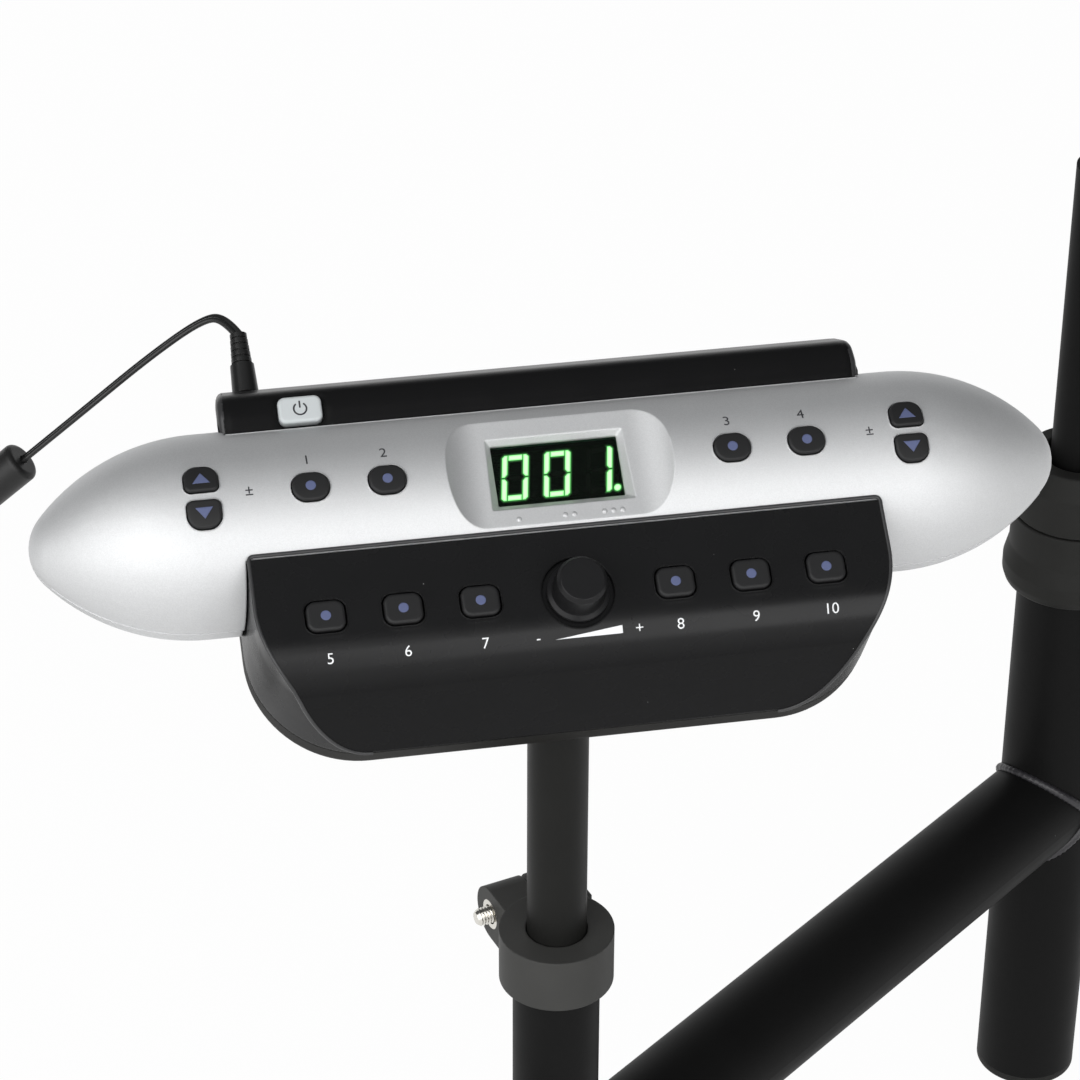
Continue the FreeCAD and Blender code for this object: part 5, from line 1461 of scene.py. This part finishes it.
@dataclass
class Support:
    """Flange, post and split clamp with its bolt."""

    post_y: float = -186.5
    post_r: float = 9.525
    flange_z: float = -29.0
    flange_y: float = -39.3
    screw_spot: Flat = (21.0, 12.0)
    screw_shank: Flat = (2.0, 10.0)
    screw_head: Flat = (3.8, 2.4)
    clamp_deg: float = 15.8
    bolt_z: float = 235.0
    bolt_back: float = 26.0
    bolt_tip: float = -16.1
    bolt_r: float = 3.0
    thread_depth: float = 0.55
    thread_pitch: float = 1.0
    thread_end: float = 2.0
    thread_steps: int = 8
    tip_edge: float = 1.0
    tip_slope: float = 0.8
    head_edge: float = 0.4
    head_crease_deg: float = 40.0
    head_foot: float = 12.5
    head_top: float = 17.5
    head_r: float = 5.0
    socket_half: float = 2.4
    socket_floor: float = 14.5
    bead_r: float = 1.5

    def dress(self) -> None:
        """Give the post and the clamp their finishes."""
        dress(POST_COAT, "mount_flange", "module_post")
        dress(CLAMP_COAT, "clamp_collar")
        dress(NICKEL, "clamp_nut")

    def build(self) -> None:
        """Make the threaded bolt, the flange's screws and the post's weld."""
        self.add_bolt()
        form = bmesh.new()
        for x in (-self.screw_spot[0], self.screw_spot[0]):
            for y in (-self.screw_spot[1], self.screw_spot[1]):
                axis = Spindle(SEAT.point(x, self.flange_y + y, self.flange_z), SEAT.way(0, 0, 1))
                add_pan_screw(form, axis, self.screw_shank, self.screw_head)
        screws = add_piece("mount_pan_screws", form, ZINC_STEEL, "module")
        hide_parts("mount_screws")
        form = bmesh.new()
        tilt = math.radians(SEAT.tilt_deg)
        path = []
        for angle in full_turn(WELD_STEPS):
            x, y = SEAT.x + self.post_r * math.cos(angle), self.post_y + self.post_r * math.sin(angle)
            z = SEAT.z + (self.flange_z + (y - SEAT.y) * math.sin(tilt)) / math.cos(tilt)
            path.append(Vector((x, y, z)) * MM)
        add_bead(form, path, self.bead_r)
        add_piece("post_weld", form, WELD_COAT, "module", SOFT_DEG)

    def thread(self, height: float) -> Profile:
        """Give the outline of the thread at one height.

        Args:
            height: Height along the bolt.

        Returns:
            Radius by angle.
        """
        limit = self.bolt_r - self.tip_edge + (height - self.bolt_tip) * self.tip_slope

        def radius(angle: float) -> float:
            """Give the radius at one angle."""
            share = (height / self.thread_pitch - angle / (2 * math.pi)) % 1
            return min(limit, self.bolt_r - self.thread_depth * abs(2 * share - 1))
        return radius

    def add_bolt(self) -> None:
        """Turn the bolt from its threaded tip to the hex socket in its head."""
        turn = Matrix.Rotation(math.radians(self.clamp_deg), 3, "Z")
        foot = (Vector((SEAT.x, self.post_y, self.bolt_z)) + turn @ Vector((0, self.bolt_back, 0))) * MM
        steps = round((self.thread_end - self.bolt_tip) / self.thread_pitch * self.thread_steps)
        rings = [(self.thread(height), height) for height in even(self.bolt_tip, self.thread_end, steps)]
        edge = self.head_edge
        profile = ((self.bolt_r, self.thread_end + edge), (self.bolt_r, self.head_foot),
                   (self.head_r - edge, self.head_foot), (self.head_r, self.head_foot + edge),
                   (self.head_r, self.head_top - edge), (self.head_r - edge, self.head_top))
        rings += [(circle(radius), height) for radius, height in profile]
        rings += [(hexagon(self.socket_half), height) for height in (self.head_top, self.socket_floor)]
        form = bmesh.new()
        Spindle(foot, turn @ Vector((1, 0, 0))).turn(form, rings)
        bolt = add_piece("threaded_clamp_bolt", form, NICKEL, "clamp_bolt",
                         self.head_crease_deg)
        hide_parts("clamp_bolt")


@dataclass
class RackCorner:
    """Round tubes, plastic collar and caps of the rack."""

    tube_r: float = 19.05
    cross_z: float = 130.0
    receiver_at: Flat = (-227.5, -186.5)
    receiver_r: float = 14.0
    bead_r: float = 1.8
    crotch: float = 0.01

    def dress(self) -> None:
        """Give the tubes and plastic parts their finishes."""
        dress(RACK_COAT, "upright_tube", "cross_tube", "receiver_tube", "inner_tube")
        dress(COLLAR_BLACK, "collar_body", "collar_cap", "cross_tube_cap", "leg_socket", "collar_hand_screw")

    def build(self) -> None:
        """Weld the cross tube to the upright and the receiver to the cross tube."""
        along = Vector((*self.receiver_at, 0.0)).normalized()
        side = Vector((-along.y, along.x, 0.0))
        cross, receiver = [], []
        middle = Vector((*self.receiver_at, 0.0))
        for angle in full_turn(WELD_STEPS):
            out, up = math.cos(angle), math.sin(angle)
            reach = self.tube_r * math.sqrt(up * up + self.crotch)
            cross.append((along * reach + side * self.tube_r * out + self.height(self.tube_r * up)) * MM)
            rise = math.sqrt(self.tube_r ** 2 - (self.receiver_r * up) ** 2)
            foot = middle + along * self.receiver_r * out + side * self.receiver_r * up
            receiver.append((foot + self.height(rise)) * MM)
        for name, path in (("cross_weld", cross), ("receiver_weld", receiver)):
            form = bmesh.new()
            add_bead(form, path, self.bead_r)
            add_piece(name, form, WELD_COAT, "rack", SOFT_DEG)

    def height(self, rise: float) -> Vector:
        """Give the way up from the floor to a height over the cross tube's axis."""
        return Vector((0.0, 0.0, self.cross_z + rise))


@dataclass
class PowerLead:
    """Twin lead from the plug through the ferrite to a tied coil and the adapter."""

    width: float = 3.3
    thick: float = 1.8
    neck: float = 1.2
    length_m: float = 1.5
    plug_x: float = -85.8
    plug_tip: float = 66.3
    plug_z: float = -5.2
    seat: float = 1.0
    route: tuple[Spot, ...] = (
        (-89.1, 62.9, 37.5), (-95.2, 67.0, 35.6), (-112.0, 68.2, 23.4), (-134.6, 67.3, 5.7),
        (-177.4, 74.3, -32.9), (-186.4, 73.3, -54.9), (-186.4, 73.3, -74.9))
    coil_r: float = 31.5
    coil_step: float = 3.6
    half_turns_in: int = 9
    half_turns_out: int = 8
    points_per_half: int = 8
    lead_r: float = 1.2
    tail_end: float = -101.5
    line_steps: int = 10
    core_steps: int = 10
    blade_l: float = 17.0
    blade_sink: float = 0.5
    blade_tip: Flat = (1.5, 0.7)
    blade_half: Flat = (3.2, 0.8)
    blade_space: float = 6.35
    adapter_h: float = 62.0
    plating: float = 0.05

    def dress(self) -> None:
        """Give the plug and the pieces on the lead their finishes."""
        dress(LEAD_VINYL, "dc_plug")
        dress(FERRITE_CASE, "ferrite_core")
        dress(TIE_NYLON, "cable_tie")
        dress(MATTE_BLACK, "power_adapter")

    def free_points(self) -> list[Vector]:
        """Give the route of the free stretch in the part frame, in metres.

        Returns:
            Listed points from the plug to the coil.
        """
        centre = Vector((SEAT.x, SEAT.y, SEAT.z))
        points = [(centre + Vector(p)) * MM for p in self.route]
        tip = SEAT.point(self.plug_x, self.plug_tip, self.plug_z)
        return [tip - (points[0] - tip).normalized() * self.seat * MM] + points

    def coil_points(self, start: Vector) -> list[Vector]:
        """Wind the coil: spiral in, climb a layer, spiral out.

        Args:
            start: Last point of the free stretch.

        Returns:
            Points of the turns and the tail.
        """
        mid_z = start.z - 2 * self.lead_r * MM
        x, y, radius = start.x, start.y, self.coil_r * MM
        step = self.coil_step * MM
        points = []
        for k in range(self.half_turns_in + 1 + self.half_turns_out):
            way = -1 if k % 2 == 0 else 1
            climb = step if k == self.half_turns_in else 0.0
            for s in range(self.points_per_half):
                swing = math.pi * s / self.points_per_half
                points.append(Vector((x - climb * s / self.points_per_half,
                                      y + way * radius * (1 - math.cos(swing)),
                                      mid_z + way * radius * math.sin(swing))))
            x, y = x - climb, y + 2 * way * radius
            radius += -step / 2 if k < self.half_turns_in else step / 2
        tail = (SEAT.z + self.tail_end) * MM
        return points + [Vector((x, y, mid_z)), Vector((x, y, (mid_z + tail) / 2)), Vector((x, y, tail))]

    def centreline(self) -> list[Vector]:
        """Read the smooth line of the lead from a spline through its route.

        Returns:
            Closely spaced points of the line.
        """
        free = self.free_points()
        points = free + self.coil_points(free[-1])
        curve = bpy.data.curves.new("lead_line", "CURVE")
        curve.dimensions = "3D"
        curve.resolution_u = self.line_steps
        spline = curve.splines.new("NURBS")
        spline.points.add(len(points) - 1)
        for knot, spot in zip(spline.points, points):
            knot.co = (*spot, 1.0)
        spline.order_u = 3
        spline.use_endpoint_u = True
        holder = bpy.data.objects.new("lead_line", curve)
        mesh = bpy.data.meshes.new_from_object(holder)
        line = [v.co.copy() for v in mesh.vertices]
        bpy.data.objects.remove(holder)
        bpy.data.curves.remove(curve)
        bpy.data.meshes.remove(mesh)
        return line

    def section(self) -> list[Flat]:
        """Give the outline of two round cores joined by a thin web.

        Returns:
            Its corners, in order.
        """
        radius = self.thick / 2
        centre = self.width / 2 - radius
        dip = math.asin(self.neck / 2 / radius)
        turns = even(dip - math.pi, math.pi - dip, self.core_steps)
        right = [(centre + radius * math.cos(a), radius * math.sin(a)) for a in turns]
        return right + [(-x, -y) for x, y in right]

    def build(self) -> None:
        line = self.centreline()
        form = bmesh.new()
        loops = []
        side = Vector((1.0, 0.0, 0.0))
        for i, spot in enumerate(line):
            ahead = (line[min(i + 1, len(line) - 1)] - line[max(i - 1, 0)]).normalized()
            side = (side - ahead * side.dot(ahead)).normalized()
            up = ahead.cross(side)
            loops.append([form.verts.new(spot + (side * x + up * y) * MM) for x, y in self.section()])
        skin(form, loops)
        lead = add_piece("power_lead", form, LEAD_VINYL, "module", SOFT_DEG)
        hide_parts("lead_stretch", "lead_coil", "lead_tail")
        tuple(self.free_points()[0])
        [tuple(p) for p in line]
        self.add_blades()

    def add_blades(self) -> None:
        """Plate the two blades of the adapter's plug."""
        low, high = (Vector(corner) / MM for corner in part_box("power_adapter"))
        middle_x, middle_z = (low.x + high.x) / 2, low.z + self.adapter_h / 2
        wide, thin = (half + self.plating for half in self.blade_half)
        edge, narrow = self.blade_tip
        ends = ((low.y - self.plating, wide * narrow), (low.y + edge, wide),
                (low.y + self.blade_l + self.blade_sink, wide))
        form = bmesh.new()
        for z in (middle_z - self.blade_space, middle_z + self.blade_space):
            loops = []
            for y, half in ends:
                spots = [Vector((middle_x + sx * half, y, z + sy * thin)) * MM for sx, sy in CORNERS]
                loops.append([form.verts.new(spot) for spot in spots])
            skin(form, loops)
        add_piece("adapter_blades", form, NICKEL, "module")


@dataclass(frozen=True)
class Softbox:
    """A soft rectangular lamp, with its place and size in metres and its power in watts."""

    name: str
    at: Spot
    size: Flat
    power: float

    def hang(self) -> None:
        """Hang the lamp so that it points at the module."""
        data = bpy.data.lights.new(self.name, "AREA")
        data.shape = "RECTANGLE"
        data.size, data.size_y = self.size
        data.energy = self.power
        lamp = bpy.data.objects.new(self.name, data)
        lamp.location = self.at
        target = Vector((SEAT.x, SEAT.y, SEAT.z)) * MM
        lamp.rotation_euler = (target - lamp.location).to_track_quat("-Z", "Y").to_euler()
        bpy.context.scene.collection.objects.link(lamp)


@dataclass
class Studio:
    """Pale floor, soft lamps, a dim room and the camera at the photograph's place."""

    camera_at: Spot = (-406.1, -1116.3, 1007.5)
    ahead: Spot = (0.153, 0.824, -0.5456)
    right: Spot = (0.9836, -0.1801, 0.0038)
    lens: float = 127.09
    sensor: float = 36.0
    floor_half_m: float = 40.0
    floor_white: float = 0.97
    floor_colour: Colour = (0.86, 0.86, 0.86)
    floor_rough: float = 0.9
    lamps: tuple[Softbox, ...] = (
        Softbox("left_softbox", (-1.548, -1.691, 1.502), (3.09, 2.56), 68.0),
        Softbox("right_softbox", (0.649, -2.187, 1.067), (1.59, 1.63), 24.0),
        Softbox("back_softbox", (-0.23, 2.1, 0.8), (3.2, 1.2), 11.0),
    )
    room: tuple[Flat, ...] = ((0.0, 0.6), (0.1, 0.2), (0.35, 0.08), (0.7, 0.1), (1.0, 0.4))
    room_tint: Colour = (0.98, 1.0, 1.02)

    def build(self) -> None:
        """Set up floor, lamps, room and camera."""
        self.add_floor()
        for lamp in self.lamps:
            lamp.hang()
        self.add_room()
        self.add_camera()

    def add_floor(self) -> None:
        """Lay a pale floor that stays white to the eye and keeps a faint shadow."""
        half = self.floor_half_m
        form = bmesh.new()
        form.faces.new([form.verts.new((x * half, y * half, 0.0)) for x, y in CORNERS])
        mesh = bpy.data.meshes.new("floor")
        form.to_mesh(mesh)
        form.free()
        floor = bpy.data.objects.new("floor", mesh)
        bpy.context.scene.collection.objects.link(floor)
        graph = Graph("floor_paper")
        graph.shader.inputs["Base Color"].default_value = (*self.floor_colour, 1.0)
        graph.shader.inputs["Roughness"].default_value = self.floor_rough
        glow = graph.add("ShaderNodeEmission")
        path = graph.add("ShaderNodeLightPath")
        seen = graph.calc("MAXIMUM", (path, "Is Camera Ray"), (path, "Is Glossy Ray"))
        through = graph.calc("MAXIMUM", (seen, "Value"), (path, "Is Transmission Ray"))
        share = graph.calc("MULTIPLY", (through, "Value"), self.floor_white)
        mix = graph.add("ShaderNodeMixShader")
        graph.join(share, "Value", mix, 0)
        graph.join(graph.shader, "BSDF", mix, 1)
        graph.join(glow, "Emission", mix, 2)
        graph.join(mix, "Shader", graph.output, "Surface")
        mesh.materials.append(graph.material)

    def add_room(self) -> None:
        """Paint the room: pale near the floor and dim overhead."""
        world = bpy.data.worlds.new("studio")
        world.use_nodes = True
        tree = world.node_tree
        tree.nodes.clear()
        coords = tree.nodes.new("ShaderNodeTexCoord")
        split = tree.nodes.new("ShaderNodeSeparateXYZ")
        ramp = tree.nodes.new("ShaderNodeValToRGB")
        light = tree.nodes.new("ShaderNodeBackground")
        output = tree.nodes.new("ShaderNodeOutputWorld")
        steps = ramp.color_ramp.elements
        for _ in self.room[2:]:
            steps.new(1.0)
        for step, (height, level) in zip(steps, self.room):
            step.position = height
            step.color = (*(level * share for share in self.room_tint), 1.0)
        tree.links.new(coords.outputs["Generated"], split.inputs[0])
        tree.links.new(split.outputs["Z"], ramp.inputs[0])
        tree.links.new(ramp.outputs["Color"], light.inputs["Color"])
        tree.links.new(light.outputs[0], output.inputs["Surface"])
        bpy.context.scene.world = world

    def add_camera(self) -> None:
        """Put the camera where the photograph was taken."""
        data = bpy.data.cameras.new("camera")
        data.sensor_width = self.sensor
        data.lens = self.lens
        camera = bpy.data.objects.new("camera", data)
        ahead = Vector(self.ahead).normalized()
        right = Vector(self.right)
        right = (right - ahead * right.dot(ahead)).normalized()
        up = right.cross(ahead)
        turn = Matrix((right, up, -ahead)).transposed().to_4x4()
        camera.matrix_world = Matrix.Translation(Vector(self.camera_at) * MM) @ turn
        bpy.context.scene.collection.objects.link(camera)
        bpy.context.scene.camera = camera


def main() -> None:
    """Build and dress every sub-assembly in order."""
    logging.basicConfig(level=logging.INFO, format="%(message)s")
    bpy.context.scene.view_settings.view_transform = "Standard"
    Studio().build()
    assemblies = (Housing(), DisplayUnit(), KeyField(), Controls(), Insides(), Support(), RackCorner(),
                  PowerLead())
    for assembly in assemblies:
        assembly.dress()
        assembly.build()


if __name__ == "__main__":
    main()
